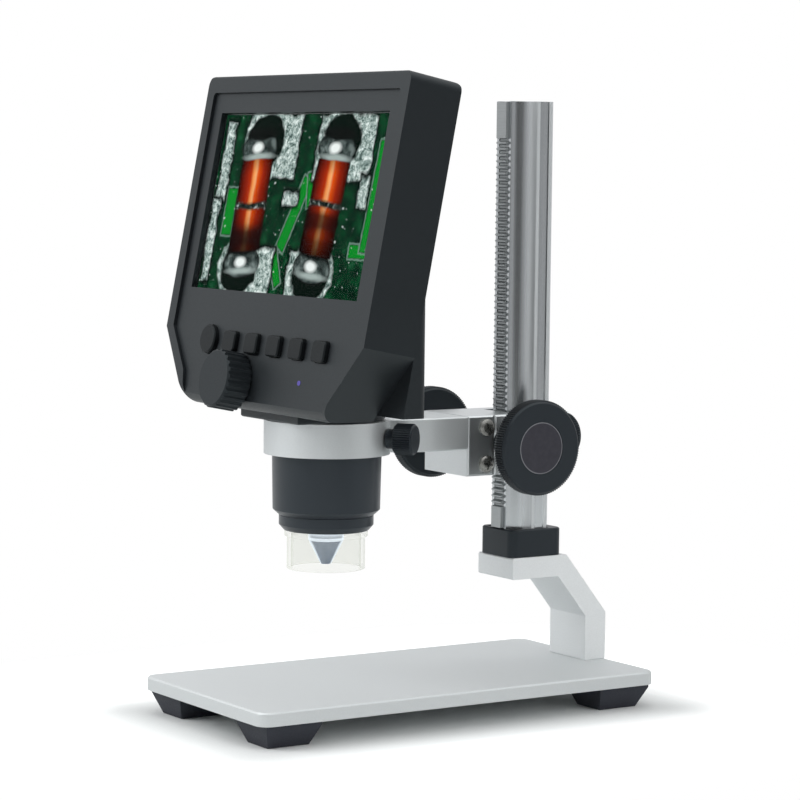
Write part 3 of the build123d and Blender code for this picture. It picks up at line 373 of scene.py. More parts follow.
# Porous bronze bushes: brown and grainy.
bush_bronze = metal("sintered_bronze", "#5c4a36", 0.50, grain_mm=0.25)
# Folded tin of the display frame and the sockets: grey and fairly bright.
tin = metal("folded_tin", "#b7babb", 0.30)
# Foil laminate of the pouch cell: silvery, with broad soft creases.
foil = metal("foil_laminate", "#b5b6b9", 0.38, grain_mm=1.2, depth_mm=0.05)

# %% [markdown]
# ## The column
# An extrusion is smooth but for faint die lines along it, so the column mirrors well. Its lands, on which
# the carriage rubs, are matt and scatter more. The shoulder of the flute gets that finish too, because it
# would mirror the head as a dark stripe. Lands are found by the distance from the middle, and the shoulder
# by its depth in the section.

# %% Column
FLUTE_BARE, RUBBED_BARE = 0.88, 0.30
LAND_FROM, LAND_TO = 0.00685, 0.00695
SHOULDER = ((0.0402, 0.0), (0.0416, 1.0), (0.0429, 1.0), (0.0432, 0.0))
column_aluminium = metal("extruded_aluminium_die_lines", "#c6cacc", 0.17, (1, 1, 0.004), 0.5, 0.001, 0.03,
                         0.06, FLUTE_BARE)
tree = column_aluminium.node_tree
place = add(tree, "ShaderNodeSeparateXYZ", Vector=add(tree, "ShaderNodeTexCoord").outputs["Object"])
aside = add(tree, "ShaderNodeMath", {"operation": "ABSOLUTE"}, i0=place.outputs["X"])
land = add(tree, "ShaderNodeMapRange", Value=aside, From_Min=LAND_FROM, From_Max=LAND_TO)
rubbed = add(tree, "ShaderNodeMath", {"operation": "MAXIMUM"}, i0=land,
             i1=ramp(tree, place.outputs["Y"], SHOULDER))
bare = add(tree, "ShaderNodeMapRange", Value=rubbed, To_Min=FLUTE_BARE, To_Max=RUBBED_BARE)
skin = next(node for node in tree.nodes if node.type == "BSDF_PRINCIPLED")
tree.links.new(bare.outputs[0], skin.inputs["Metallic"])
print("column nodes", len(tree.nodes))

# %% [markdown]
# ## The discs in the knobs
# Each drive knob has a turned disc in its face. The dye gives it a plum tint. A bright ring round its edge is
# a painted highlight, for the light that the edge of the disc catches. The ring comes from the distance to
# the shaft's axis.

# %% Knob discs
SHAFT_Y_MM, SHAFT_Z_MM = 28.7, 81.9
MARKS_PER_M = 700.0
RING_LIGHT_FROM, RING_LIGHT_TO = 0.00745, 0.0076
cap_anodised, tree, where = new_material("plum_grey_anodised_cap")
off_axis = add(tree, "ShaderNodeVectorMath", {"operation": "SUBTRACT"}, i0=where,
               i1=(0, SHAFT_Y_MM / 1000, SHAFT_Z_MM / 1000))
off_axis = add(tree, "ShaderNodeVectorMath", {"operation": "MULTIPLY"}, i0=off_axis, i1=(0, 1, 1))
off_axis = add(tree, "ShaderNodeVectorMath", {"operation": "LENGTH"}, i0=off_axis)
turned = add(tree, "ShaderNodeTexNoise", Vector=where, Scale=MARKS_PER_M, Detail=3.0).outputs["Fac"]
paint = add(tree, "ShaderNodeMix", {"data_type": "RGBA"}, i0=turned, i6=colour("#28282f"),
            i7=colour("#37363e"))
# Painted highlight: a light grey ring at the edge of the disc.
painted_rim_highlight = add(tree, "ShaderNodeMapRange", Value=off_axis.outputs["Value"], From_Min=RING_LIGHT_FROM,
               From_Max=RING_LIGHT_TO)
paint = add(tree, "ShaderNodeMix", {"data_type": "RGBA"}, i0=painted_rim_highlight, i6=paint.outputs[2],
            i7=colour("#77787d"))
finish_material(tree, add(tree, "ShaderNodeBsdfPrincipled", Base_Color=paint.outputs[2], Roughness=0.36,
                          Specular_IOR_Level=0.36))

# %% [markdown]
# ## Clear pieces
# The light shield is milky acrylic. Seen straight on, each face of its wall lets nearly nine tenths of the
# light through unscattered, so the cone of the lens shows inside. The lamps above make the shield glow,
# which is set as a faint light of its own. The window over the display is clear, with a faint sheen.


# %% Shield and window
def veil(name, code, rough, scattered, haze_mm, glow=0.0, edge=0.0):
    """Clear plastic or glass that lets part of the light straight through and scatters the rest. Where the
    wall is seen edge-on there is more of it to look through, so it scatters more."""
    material, tree, where = new_material(name)
    haze = add(tree, "ShaderNodeTexNoise", Vector=where, Scale=1000 / haze_mm, Detail=2.0)
    gloss = add(tree, "ShaderNodeMapRange", Value=haze.outputs["Fac"], To_Min=rough * 0.8, To_Max=rough * 1.2)
    share = add(tree, "ShaderNodeMapRange", Value=haze.outputs["Fac"], To_Min=scattered * 0.92,
                To_Max=scattered * 1.08)
    slant = add(tree, "ShaderNodeLayerWeight", Blend=0.5).outputs["Facing"]
    slant = add(tree, "ShaderNodeMapRange", Value=slant, From_Min=0.6, From_Max=1.0, To_Min=0.0, To_Max=edge)
    share = add(tree, "ShaderNodeMath", {"operation": "ADD"}, i0=share, i1=slant)
    body = add(tree, "ShaderNodeBsdfPrincipled", Base_Color=colour(code), Roughness=gloss,
               IOR=1.49, Emission_Color=colour(code), Emission_Strength=glow)
    straight = add(tree, "ShaderNodeBsdfTransparent", Color=colour("#ffffff"))
    finish_material(tree, add(tree, "ShaderNodeMixShader", i0=share, i1=straight, i2=body))
    return material


shield_acrylic = veil("milky_acrylic_shield", "#bec3b2", 0.30, 0.12, 6.0, 0.30, 0.36)
# The window is dark in the colour that it scatters, so it adds only its sheen.
window_glass = veil("display_window_glass", "#040404", 0.08, 0.05, 30.0)

# %% [markdown]
# ## The lens mount
# Inside the shield hangs a blue-grey cone. The lamps above it light its top rim, its sides at a low angle,
# and a few specks in its grain. That light is painted in, which keeps it free of noise. The bands of the
# rim are found by their height.

# %% Lens mount
RIM_LIGHT = ((0.0470, 0.02), (0.0537, 0.12), (0.0540, 0.02), (0.0542, 1.0), (0.0549, 1.0), (0.0552, 0.35),
             (0.0560, 0.8))
SIDE_LIGHT = ((0.0, 0.0), (0.44, 0.0), (0.60, 0.8), (1.0, 1.0))
SPECKS_PER_M = 2600.0
SPECK_LIGHT = ((0.0, 0.0), (0.63, 0.0), (0.70, 0.5), (1.0, 1.0))
lens_mount, tree, where = new_material("anodised_lens_mount")
level = add(tree, "ShaderNodeSeparateXYZ", Vector=where).outputs["Z"]
slant = add(tree, "ShaderNodeLayerWeight", Blend=0.5).outputs["Facing"]
grain = add(tree, "ShaderNodeTexNoise", Vector=where, Scale=SPECKS_PER_M, Detail=1.0).outputs["Fac"]
lamplight = ramp(tree, level, RIM_LIGHT)
for more in (ramp(tree, slant, SIDE_LIGHT), ramp(tree, grain, SPECK_LIGHT)):
    lamplight = add(tree, "ShaderNodeMix", {"data_type": "RGBA", "blend_type": "LIGHTEN"}, i0=1.0,
                    i6=lamplight, i7=more).outputs[2]
finish_material(tree, add(tree, "ShaderNodeBsdfPrincipled", Base_Color=colour("#2a4a78"), Roughness=0.3,
                          Emission_Color=colour("#e9f2f8"), Emission_Strength=lamplight))

# %% [markdown]
# ## Lamps and boards
# A lamp is a chip in resin that glows as a whole, so it is a plain emission, a little uneven. A board is
# green lacquer over copper, and the sensor sits in a matt black package.

# %% Lamps and boards
GRAINS_PER_M = 900.0


def lit(name, code, strength):
    """A lamp's glowing resin, a little uneven in its grain."""
    material, tree, where = new_material(name)
    grain = add(tree, "ShaderNodeTexNoise", Vector=where, Scale=GRAINS_PER_M)
    level = add(tree, "ShaderNodeMapRange", Value=grain.outputs["Fac"], To_Min=strength * 0.8,
                To_Max=strength * 1.2)
    finish_material(tree, add(tree, "ShaderNodeEmission", Color=colour(code), Strength=level))
    return material


white_lamp = lit("white_lamp_resin", "#f6f8f0", 3.0)
blue_lamp = lit("violet_lamp_resin", "#8a80e0", 0.55)
# Solder mask: green lacquer over copper, slightly glossy.
board_green = moulded("green_solder_mask", "#1c5a34", 0.35, 0.8, 0.03, 0.2)
# Ceramic package of the image sensor: black and matt.
ceramic = moulded("black_ceramic_package", "#161616", 0.4)

# %% [markdown]
# ## Putting the finish on the solids
# The solids arrive as loose triangles, which shade flat. So each one that shows is copied, its doubled points
# are merged, its flat faces are joined up, and only its sharp edges are kept sharp. A narrow bevel then gives
# each edge the bright line that a real edge has. The copy rides on the same body as its solid.

# %% Copy, merge and bevel
MERGE, FLAT, SHARP = 2e-6, radians(0.4), radians(32.0)     # a distance in metres and two angles
body_of_node = {node: body for body, nodes in frame["record"]["behaviour"]["bodies"].items()
                for node in nodes}


def draw_in(work, place, radius, height):
    """Scale the outer points of a knob towards its axis, by the height of the knurl that goes on it."""
    back = place.inverted()
    for vert in work.verts:
        local = back @ vert.co
        if Vector((local.x, local.y)).length > radius * 0.9:
            local.x, local.y = local.x * (1 - height / radius), local.y * (1 - height / radius)
            vert.co = place @ local


def dressed(node, material, edge_mm, rim=None):
    """A merged, smooth-shaded copy of a solid with bevelled edges. A rim draws in a knob's edge for its
    knurl."""
    work = bmesh.new()
    work.from_mesh(frame["nodes"][node].data)
    bmesh.ops.remove_doubles(work, verts=work.verts, dist=MERGE)
    if rim:
        draw_in(work, *rim)
    bmesh.ops.dissolve_limit(work, angle_limit=FLAT, verts=work.verts, edges=work.edges)
    for face in work.faces:
        face.smooth = True
    for edge in work.edges:
        edge.smooth = not (edge.is_manifold and edge.calc_face_angle() > SHARP)
    mesh = bpy.data.meshes.new(node + "_finish")
    work.to_mesh(mesh)
    work.free()
    mesh.materials.append(material)
    piece = bpy.data.objects.new(node + "_finish", mesh)
    bpy.context.collection.objects.link(piece)
    if edge_mm:
        bevel = piece.modifiers.new("edge", "BEVEL")
        bevel.width, bevel.segments, bevel.limit_method = edge_mm / 1000, 2, "ANGLE"
        bevel.angle_limit, bevel.harden_normals, bevel.use_clamp_overlap = SHARP, True, True
    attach(piece, body_of_node[node])
    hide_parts(node)


print("solids with a body:", len(body_of_node))


# %% [markdown]
# Four knobs carry a fine knurl, which is added later. Its sizes are wanted here already, because the smooth
# knob under it has to be smaller by the height of the ribs.

# %% Sizes of the knurls
def axis_frame(origin_mm, direction):
    """Matrix that takes +Z to a direction, at a point given in millimetres."""
    turn = Vector(direction).to_track_quat("Z", "Y").to_matrix().to_4x4()
    return Matrix.Translation(Vector(origin_mm) / 1000) @ turn


THUMB = radians(38.0)
THUMB_OUT_MM, RING_Y_MM, RING_Z_MM = 24.8, -27.8, 85.35
thumb_along = (cos(THUMB), sin(THUMB), 0)
thumb_at = (THUMB_OUT_MM * cos(THUMB), RING_Y_MM + THUMB_OUT_MM * sin(THUMB), RING_Z_MM)
KNURLS = {  # middle of the knurl, direction, radius, length, ribs and height, in mm
    "drive_knob_right": ((28.8, SHAFT_Y_MM, SHAFT_Z_MM), (1, 0, 0), 14.4, 3.8, 120, 0.36),
    "drive_knob_left": ((-28.8, SHAFT_Y_MM, SHAFT_Z_MM), (-1, 0, 0), 14.4, 3.8, 120, 0.36),
    "lock_knob": ((0, 58.0, SHAFT_Z_MM), (0, 1, 0), 7.0, 6.4, 56, 0.36),
    "thumb_knob": (thumb_at, thumb_along, 4.7, 5.2, 42, 0.3),
}
rims = {node: (axis_frame(at, along), radius / 1000, height / 1000)
        for node, (at, along, radius, _, _, height) in KNURLS.items()}
print("knurled knobs", len(KNURLS))

# %% [markdown]
# Each piece that shows gets its material and the width of its edge in millimetres. Moulded shells have wide
# round edges, milled and turned metal has narrow ones, and the rack's teeth are left as cut.

# %% Dress the solids
finishes = {
    "base_plate": (plate_aluminium, 0.12), "column_bracket": (bar_aluminium, 0.2),
    "carriage_block": (block_aluminium, 0.15), "front_block": (block_aluminium, 0.15),
    "ring_arm": (arm_aluminium, 0.2), "column": (column_aluminium, 0.1), "rack": (rack_steel, 0.0),
    "column_collar": (black_anodised, 0.2), "drive_knob_right": (black_anodised, 0.1),
    "drive_knob_left": (black_anodised, 0.1), "knob_caps": (cap_anodised, 0.1),
    "lock_knob": (black_anodised, 0.1), "thumb_knob": (black_anodised, 0.1),
    "front_housing": (housing_abs, 0.5), "rear_housing": (housing_abs, 0.4), "neck_plate": (housing_abs, 0.2),
    "focus_knob": (knob_abs, 0.15), "barrel": (barrel_abs, 0.15), "nose_ring": (barrel_abs, 0.1),
    "light_shield": (shield_acrylic, 0.1), "power_button": (key_abs, 0.1),
    "objective_lens": (lens_mount, 0.05),
}
finishes.update({f"foot_{end}_{hand}": (foot_rubber, 0.3)
                 for end in ("front", "back") for hand in ("left", "right")})
finishes.update({f"key_button_{i}": (key_abs, 0.1) for i in range(1, 6)})
for node, (material, edge) in finishes.items():
    dressed(node, material, edge, rims.get(node))
print("dressed", len(finishes), "solids")

# %% [markdown]
# ## Knurls
# A straight knurl is one small rib, repeated round a rim. It could be cut into the knob, but each rib is the
# same, so Geometry Nodes places them: a circle gives one point for each rib, and each rib turns to face
# outwards. A rib is a four-sided bar with one corner outwards.

# %% Start and end of a node tree
FLOAT, WHOLE, PAINT, SHAPE = "NodeSocketFloat", "NodeSocketInt", "NodeSocketMaterial", "NodeSocketGeometry"


def new_tree(name, inputs):
    """An empty Geometry Nodes tree with named inputs, and the identifier of each."""
    tree = bpy.data.node_groups.new(name, "GeometryNodeTree")
    keys = {label: tree.interface.new_socket(label, in_out="INPUT", socket_type=kind).identifier
            for label, kind in inputs.items()}
    tree.interface.new_socket("Geometry", in_out="OUTPUT", socket_type="NodeSocketGeometry")
    return tree, keys, add(tree, "NodeGroupInput").outputs


def close_tree(tree, geometry, material):
    """Make the instances real and coat them, which the export needs."""
    real = add(tree, "GeometryNodeRealizeInstances", Geometry=geometry)
    coated = add(tree, "GeometryNodeSetMaterial", Geometry=real, Material=material)
    add(tree, "NodeGroupOutput", Geometry=coated)
    print(tree.name, "has", len(tree.nodes), "nodes")


# %% Knurl as a node tree
knurl, knurl_keys, given = new_tree("straight_knurl", {"Ribs": WHOLE, "Radius": FLOAT, "Length": FLOAT,
                                                       "Height": FLOAT, "Material": PAINT})
middle = add(knurl, "ShaderNodeMath", {"operation": "SUBTRACT"}, i0=given["Radius"], i1=given["Height"])
circle = add(knurl, "GeometryNodeMeshCircle", Vertices=given["Ribs"], Radius=middle)
rib = add(knurl, "GeometryNodeMeshCylinder", Vertices=4, Radius=given["Height"], Depth=given["Length"])
step = add(knurl, "ShaderNodeMath", {"operation": "DIVIDE"}, i0=2 * pi, i1=given["Ribs"])
index = add(knurl, "GeometryNodeInputIndex").outputs[0]
angle = add(knurl, "ShaderNodeMath", {"operation": "MULTIPLY"}, i0=index, i1=step)
facing = add(knurl, "ShaderNodeCombineXYZ", Z=angle)
ribs = add(knurl, "GeometryNodeInstanceOnPoints", Points=circle.outputs["Mesh"], Instance=rib.outputs["Mesh"],
           Rotation=facing)
close_tree(knurl, ribs.outputs[0], given["Material"])


# %% [markdown]
# A tree works on an object's modifier. Its result is taken as a plain mesh, and the modifier goes. Each body
# gets one mesh for all its knurls.

# %% Grow the knurls
def grown(tree, keys, values, start=None):
    """Run a tree on a mesh and give back the result as a mesh of its own."""
    thing = bpy.data.objects.new("seed", start or bpy.data.meshes.new("seed"))
    bpy.context.collection.objects.link(thing)
    modifier = thing.modifiers.new("grow", "NODES")
    modifier.node_group = tree
    for label, value in values.items():
        modifier[keys[label]] = value
    bpy.context.view_layer.update()
    result = bpy.data.meshes.new_from_object(thing.evaluated_get(bpy.context.evaluated_depsgraph_get()))
    thing.modifiers.clear()
    bpy.data.objects.remove(thing)
    return result


def placed(name, body, meshes):
    """One object on one body from meshes and the matrix of each."""
    work = bmesh.new()
    for mesh, matrix in meshes:
        mesh.transform(matrix)
        work.from_mesh(mesh)
    whole = bpy.data.meshes.new(name)
    work.to_mesh(whole)
    work.free()
    whole.materials.append([paint for paint in meshes[0][0].materials if paint][0])
    whole.polygons.foreach_set("material_index", [0] * len(whole.polygons))
    piece = bpy.data.objects.new(name, whole)
    bpy.context.collection.objects.link(piece)
    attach(piece, body)
    print(name, len(whole.polygons), "faces")
    return piece


for body in ("pinion", "lock", "thumb"):
    nodes = [node for node in KNURLS if body_of_node[node] == body]
    bands = []
    for at, along, radius, length, count, height in (KNURLS[node] for node in nodes):
        sizes = {"Ribs": count, "Radius": radius / 1000, "Length": length / 1000, "Height": height / 1000,
                 "Material": black_anodised}
        bands.append((grown(knurl, knurl_keys, sizes), axis_frame(at, along)))
    placed(f"knurl_{body}", body, bands)

# %% [markdown]
# ## Cross-head screws
# Four screws sit in the sides of the block. The head of such a screw is a low dome with a stamped cross.
# Here a fine disc is raised to the dome by its distance from the middle, and two bars are cut out of it.

# %% Domed head with its cross
FALL, RIM_HEIGHT = 2.6, 0.45     # how late the dome falls, and its height at the rim as a share of the rise
CROSS_LONG, CROSS_WIDE, CROSS_DEEP = 1.25, 0.20, 0.8     # shares of the head's radius and of the rise
screw, screw_keys, given = new_tree("cross_head_screw", {"Places": SHAPE, "Head": FLOAT, "Rise": FLOAT,
                                                         "Shank": FLOAT, "Reach": FLOAT, "Material": PAINT})
disc = add(screw, "GeometryNodeMeshCylinder", {"fill_type": "TRIANGLE_FAN"}, Vertices=32, Fill_Segments=6,
           Radius=given["Head"], Depth=1.0)
spot = add(screw, "GeometryNodeInputPosition").outputs[0]
flat = add(screw, "ShaderNodeVectorMath", {"operation": "MULTIPLY"}, i0=spot, i1=(1, 1, 0))
out = add(screw, "ShaderNodeVectorMath", {"operation": "LENGTH"}, i0=flat).outputs["Value"]
ratio = add(screw, "ShaderNodeMath", {"operation": "DIVIDE"}, i0=out, i1=given["Head"])
dome = add(screw, "ShaderNodeMath", {"operation": "POWER"}, i0=ratio, i1=FALL)
dome = add(screw, "ShaderNodeMapRange", Value=dome, To_Min=1.0, To_Max=RIM_HEIGHT)
level = add(screw, "ShaderNodeSeparateXYZ", Vector=spot).outputs["Z"]
upper = add(screw, "ShaderNodeMath", {"operation": "GREATER_THAN"}, i0=level, i1=0.0)
lift = add(screw, "ShaderNodeMath", {"operation": "MULTIPLY"}, i0=dome, i1=upper)
lift = add(screw, "ShaderNodeMath", {"operation": "MULTIPLY"}, i0=lift, i1=given["Rise"])
upward = add(screw, "ShaderNodeCombineXYZ", Z=lift)
raised = add(screw, "ShaderNodeVectorMath", {"operation": "ADD"}, i0=flat, i1=upward)
head = add(screw, "GeometryNodeSetPosition", Geometry=disc.outputs["Mesh"], Position=raised)

wide = add(screw, "ShaderNodeMath", {"operation": "MULTIPLY"}, i0=given["Head"], i1=CROSS_LONG)
narrow = add(screw, "ShaderNodeMath", {"operation": "MULTIPLY"}, i0=given["Head"], i1=CROSS_WIDE)
deep = add(screw, "ShaderNodeMath", {"operation": "MULTIPLY"}, i0=given["Rise"], i1=CROSS_DEEP)
crown = add(screw, "ShaderNodeCombineXYZ", Z=given["Rise"])
for x, y in ((wide, narrow), (narrow, wide)):
    size = add(screw, "ShaderNodeCombineXYZ", X=x, Y=y, Z=deep)
    bar = add(screw, "GeometryNodeMeshCube", Size=size)
    bar = add(screw, "GeometryNodeTransform", Geometry=bar.outputs["Mesh"], Translation=crown)
    head = add(screw, "GeometryNodeMeshBoolean", {"operation": "DIFFERENCE"}, Mesh_1=head, Mesh_2=bar)
print("head and cross", len(screw.nodes), "nodes")

# %% [markdown]
# Each head has a shank. A screw faces the way that its place lies across the block, and is spun by a
# different amount, as real ones are.

# %% Shank, direction and places
SPIN = 0.7     # radians from one screw to the next
CHEEK_X_MM, CHEEK_Y_MM, CHEEK_Z_MM = (-12.0, 12.0), 21.7, (75.7, 86.9)
shank = add(screw, "GeometryNodeMeshCylinder", Vertices=16, Radius=given["Shank"], Depth=given["Reach"])
sunk = add(screw, "ShaderNodeMath", {"operation": "MULTIPLY"}, i0=given["Reach"], i1=-0.5)
sunk = add(screw, "ShaderNodeCombineXYZ", Z=sunk)
shank = add(screw, "GeometryNodeTransform", Geometry=shank.outputs["Mesh"], Translation=sunk)
joined = add(screw, "GeometryNodeJoinGeometry")
screw.links.new(head.outputs[0], joined.inputs[0])
screw.links.new(shank.outputs[0], joined.inputs[0])

place = add(screw, "GeometryNodeInputPosition").outputs[0]
hand = add(screw, "ShaderNodeSeparateXYZ", Vector=place).outputs["X"]
hand = add(screw, "ShaderNodeMath", {"operation": "SIGN"}, i0=hand)
turn = add(screw, "ShaderNodeMath", {"operation": "MULTIPLY"}, i0=hand, i1=pi / 2)
turn = add(screw, "ShaderNodeCombineXYZ", Y=turn)
outwards = add(screw, "FunctionNodeEulerToRotation", Euler=turn)
index = add(screw, "GeometryNodeInputIndex").outputs[0]
spin = add(screw, "ShaderNodeMath", {"operation": "MULTIPLY"}, i0=index, i1=SPIN)
spin = add(screw, "ShaderNodeCombineXYZ", Z=spin)
own = add(screw, "FunctionNodeEulerToRotation", Euler=spin)
facing = add(screw, "FunctionNodeRotateRotation", {"rotation_space": "LOCAL"}, i0=outwards, i1=own)
screws = add(screw, "GeometryNodeInstanceOnPoints", Points=given["Places"], Instance=joined, Rotation=facing)
close_tree(screw, screws.outputs[0], given["Material"])

places = bpy.data.meshes.new("screw_places")
places.from_pydata([(x / 1000, CHEEK_Y_MM / 1000, z / 1000) for x in CHEEK_X_MM for z in CHEEK_Z_MM], [], [])
sizes = {"Head": 0.0026, "Rise": 0.0017, "Shank": 0.00125, "Reach": 0.007, "Material": nickel}
heads = grown(screw, screw_keys, sizes, places)
piece = placed("cheek_screws_finish", "carriage", [(heads, Matrix())])
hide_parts("cheek_screws")

# %% [markdown]
# ## Pieces that hardly show
# Screws, boards and shafts inside keep their own mesh and only take a finish.

# %% Finish the rest
inner = {
    black_steel: ["foot_screws", "bracket_screws", "column_bolt", "collar_grub_screw", "arm_screws",
                  "housing_screws"],
    shaft_steel: ["pinion_shaft", "lock_stud", "thumb_stud", "focus_shaft"],
    bush_bronze: ["shaft_bushes", "focus_bush"], tin: ["lcd_module", "usb_socket", "card_socket"],
    board_green: ["main_board", "keypad_board", "led_board", "sensor_board"], foil: ["battery"],
    ceramic: ["image_sensor"], barrel_abs: ["lens_carrier"], white_lamp: ["ring_leds"],
    blue_lamp: ["indicator_led"], window_glass: ["display_window"],
}
for material, nodes in inner.items():
    for mesh in (frame["nodes"][node].data for node in nodes):
        if not mesh.materials:
            mesh.materials.append(material)
        for index in range(len(mesh.materials)):
            mesh.materials[index] = material
covered = set(finishes) | {"cheek_screws"} | {node for nodes in inner.values() for node in nodes}
print("without a finish:", sorted(set(frame["nodes"]) - covered))

# %% [markdown]
# ## The lit picture
# The display shows what lies under the lens: a green circuit board with two amber glass parts between bright
# solder joints. It is a made-up view, drawn by the shader from distances in millimetres across the screen.
# The picture lies on a thin sheet just in front of the panel and glows, so no lamp is needed to show it.

# %% Sheet for the picture
LEAN = radians(11.1)
MIDDLE = Vector((0, -0.0430, 0.1549))
ACROSS, UP, OUT = Vector((1, 0, 0)), Vector((0, sin(LEAN), cos(LEAN))), Vector((0, -cos(LEAN), sin(LEAN)))
HALF_W, HALF_H, BEHIND = 47.5, 26.95, -2.42     # mm; the sheet lies behind the plane through MIDDLE
corners = ((-HALF_W, -HALF_H), (HALF_W, -HALF_H), (HALF_W, HALF_H), (-HALF_W, HALF_H))
sheet = flat_object("lit_picture", [MIDDLE + (ACROSS * u + UP * v + OUT * BEHIND) / 1000 for u, v in corners])
layout = sheet.data.uv_layers.new(name="millimetres")
for loop, corner in enumerate(corners):
    layout.data[loop].uv = corner
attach(sheet, "head")
picture, tree, _ = new_material("lit_display_picture")
uv = add(tree, "ShaderNodeUVMap", {"uv_map": "millimetres"}).outputs["UV"]
print("picture of", 2 * HALF_W, "x", 2 * HALF_H, "mm")


# %% [markdown]
# The picture is built up in layers, as a painter would: a colour goes over what lies below, where a mask is
# 1. A mask is a turned rectangle or an oval, and noise pushes its edge about, because molten solder has no
# straight edges.

# %% Masks and layers
def moved(source, u, v, turn=0.0, size=(1, 1)):
    """Millimetres measured from a point on the screen, along turned axes, in units of a size."""
    return add(tree, "ShaderNodeMapping", {"vector_type": "TEXTURE"}, Vector=source, Location=(u, v, 0),
               Rotation=(0, 0, turn), Scale=(*size, 1)).outputs[0]


def wobbled(size_mm, reach_mm):
    """The screen's millimetres pushed about by noise, so that soldered edges aren't straight."""
    noise = add(tree, "ShaderNodeTexNoise", Vector=uv, Scale=1 / size_mm, Detail=4.0).outputs["Color"]
    push = add(tree, "ShaderNodeVectorMath", {"operation": "SUBTRACT"}, i0=noise, i1=(0.5, 0.5, 0.5))
    push = add(tree, "ShaderNodeVectorMath", {"operation": "MULTIPLY"}, i0=push,
               i1=(2 * reach_mm, 2 * reach_mm, 0))
    return add(tree, "ShaderNodeVectorMath", {"operation": "ADD"}, i0=uv, i1=push.outputs[0]).outputs[0]


def box_mask(source, u, v, half_u, half_v, soft=0.3, turn=0.0):
    """1 inside a turned rectangle and 0 outside."""
    parts = add(tree, "ShaderNodeSeparateXYZ", Vector=moved(source, u, v, turn))
    margins = []
    for axis, half in (("X", half_u), ("Y", half_v)):
        off = add(tree, "ShaderNodeMath", {"operation": "ABSOLUTE"}, i0=parts.outputs[axis])
        margins.append(add(tree, "ShaderNodeMath", {"operation": "SUBTRACT"}, i0=half, i1=off))
    inside = add(tree, "ShaderNodeMath", {"operation": "MINIMUM"}, i0=margins[0].outputs[0],
                 i1=margins[1].outputs[0])
    return add(tree, "ShaderNodeMapRange", Value=inside.outputs[0], From_Min=-soft, From_Max=soft).outputs[0]


def oval_mask(source, u, v, half_u, half_v, soft=0.1):
    """1 inside an oval and 0 outside. The soft edge is a share of the oval's size."""
    out = moved(source, u, v, 0, (half_u, half_v))
    out = add(tree, "ShaderNodeVectorMath", {"operation": "LENGTH"}, i0=out)
    return add(tree, "ShaderNodeMapRange", Value=out.outputs["Value"], From_Min=1 + soft,
               From_Max=1 - soft).outputs[0]


def over(below, above, mask):
    """A colour laid over what is below it, where the mask is 1."""
    return add(tree, "ShaderNodeMix", {"data_type": "RGBA"}, i0=mask, i6=below, i7=above).outputs[2]


def noise_tones(source, size_mm, stops, rough=0.7):
    """Colours by noise with grains of one size."""
    noise = add(tree, "ShaderNodeTexNoise", Vector=source, Scale=1 / size_mm, Detail=6.0, Roughness=rough)
    return ramp(tree, noise.outputs["Fac"], [(place, colour(code)) for place, code in stops])


rough_edge, fine_edge, smooth_edge = wobbled(5.0, 2.0), wobbled(1.6, 0.6), wobbled(9.0, 0.8)
print("picture nodes", len(tree.nodes))

# %% [markdown]
# First the dark green board with its bright green traces, each in a thin dark gap and a pale outline. Then
# come pads of solder, with a crumbly edge and a dark gap round them, and a few specks of dust on top.

# %% Board, traces and solder
TRACES = (  # middle across and up, half sizes and turn
    (2.0, -3.0, 2.1, 11.5, -0.42), (-36.0, -3.0, 2.6, 7.0, 0.0), (9.5, 4.5, 1.9, 5.0, 0.2),
    (40.5, -13.0, 4.6, 1.8, 0.0), (43.5, 3.0, 1.3, 16.0, -0.05), (-3.5, -19.0, 1.6, 6.0, 0.5))
PADS = (    # middle across and up, and half sizes
    (-17.0, 17.0, 15.0, 9.5), (24.0, 17.0, 15.0, 9.5), (-14.0, -21.0, 8.5, 7.0), (10.0, -21.5, 6.0, 7.0),
    (-43.0, 13.0, 2.6, 12.0), (-44.5, -12.0, 2.0, 12.5), (-1.5, 1.5, 4.0, 1.8), (38.0, 4.0, 2.4, 4.5))
board = noise_tones(uv, 4.5, ((0.30, "#02140d"), (0.48, "#052a18"), (0.60, "#0a4626"), (0.75, "#2f6a4a")))
for u, v, half_u, half_v, turn in TRACES:
    for edge, code, grow, soft in ((fine_edge, "#7fa392", 0.7, 0.3), (fine_edge, "#020c08", 0.3, 0.3),
                                   (uv, "#0c8c28", 0.0, 0.25)):
        board = over(board, colour(code), box_mask(edge, u, v, half_u + grow, half_v + grow, soft, turn))
SOLDER = ((0.30, "#0c1613"), (0.42, "#48605a"), (0.50, "#a3b8b2"), (0.60, "#f4fffb"))
solder = noise_tones(rough_edge, 2.2, SOLDER, 0.85)
for u, v, half_u, half_v in PADS:
    board = over(board, colour("#03100b"), box_mask(rough_edge, u, v, half_u + 1.2, half_v + 1.2, 0.6))
    board = over(board, solder, box_mask(rough_edge, u, v, half_u, half_v, 0.5))
specks = noise_tones(uv, 1.4, ((0.0, "#000000"), (0.70, "#000000"), (0.73, "#cfe0da"), (1.0, "#ffffff")), 0.3)
board = add(tree, "ShaderNodeMix", {"data_type": "RGBA", "blend_type": "LIGHTEN"}, i0=0.8, i6=board,
            i7=specks).outputs[2]
print("traces", len(TRACES), "pads", len(PADS))

# %% [markdown]
# Each amber part is a glass cylinder. Seen from above it is dark at its edges and has a bright streak along
# it, so its colour comes from the place across it, dimmed towards its ends. It lies between two silver balls
# of solder, each in a dark hollow.

# %% Amber glass parts
AMBER = ((-9.2, "#0a0202"), (-8.0, "#380803"), (-5.0, "#8a1a05"), (-2.4, "#b83208"), (-1.1, "#ff9a50"),
         (0.2, "#ffb878"), (1.4, "#e8560f"), (4.2, "#a02205"), (7.6, "#560f03"), (9.2, "#0c0202"))
GLOW_ALONG = ((-15.0, "#383838"), (-11.0, "#707070"), (-4.0, "#e8e8e8"), (9.0, "#ffffff"), (15.0, "#8a8a8a"))


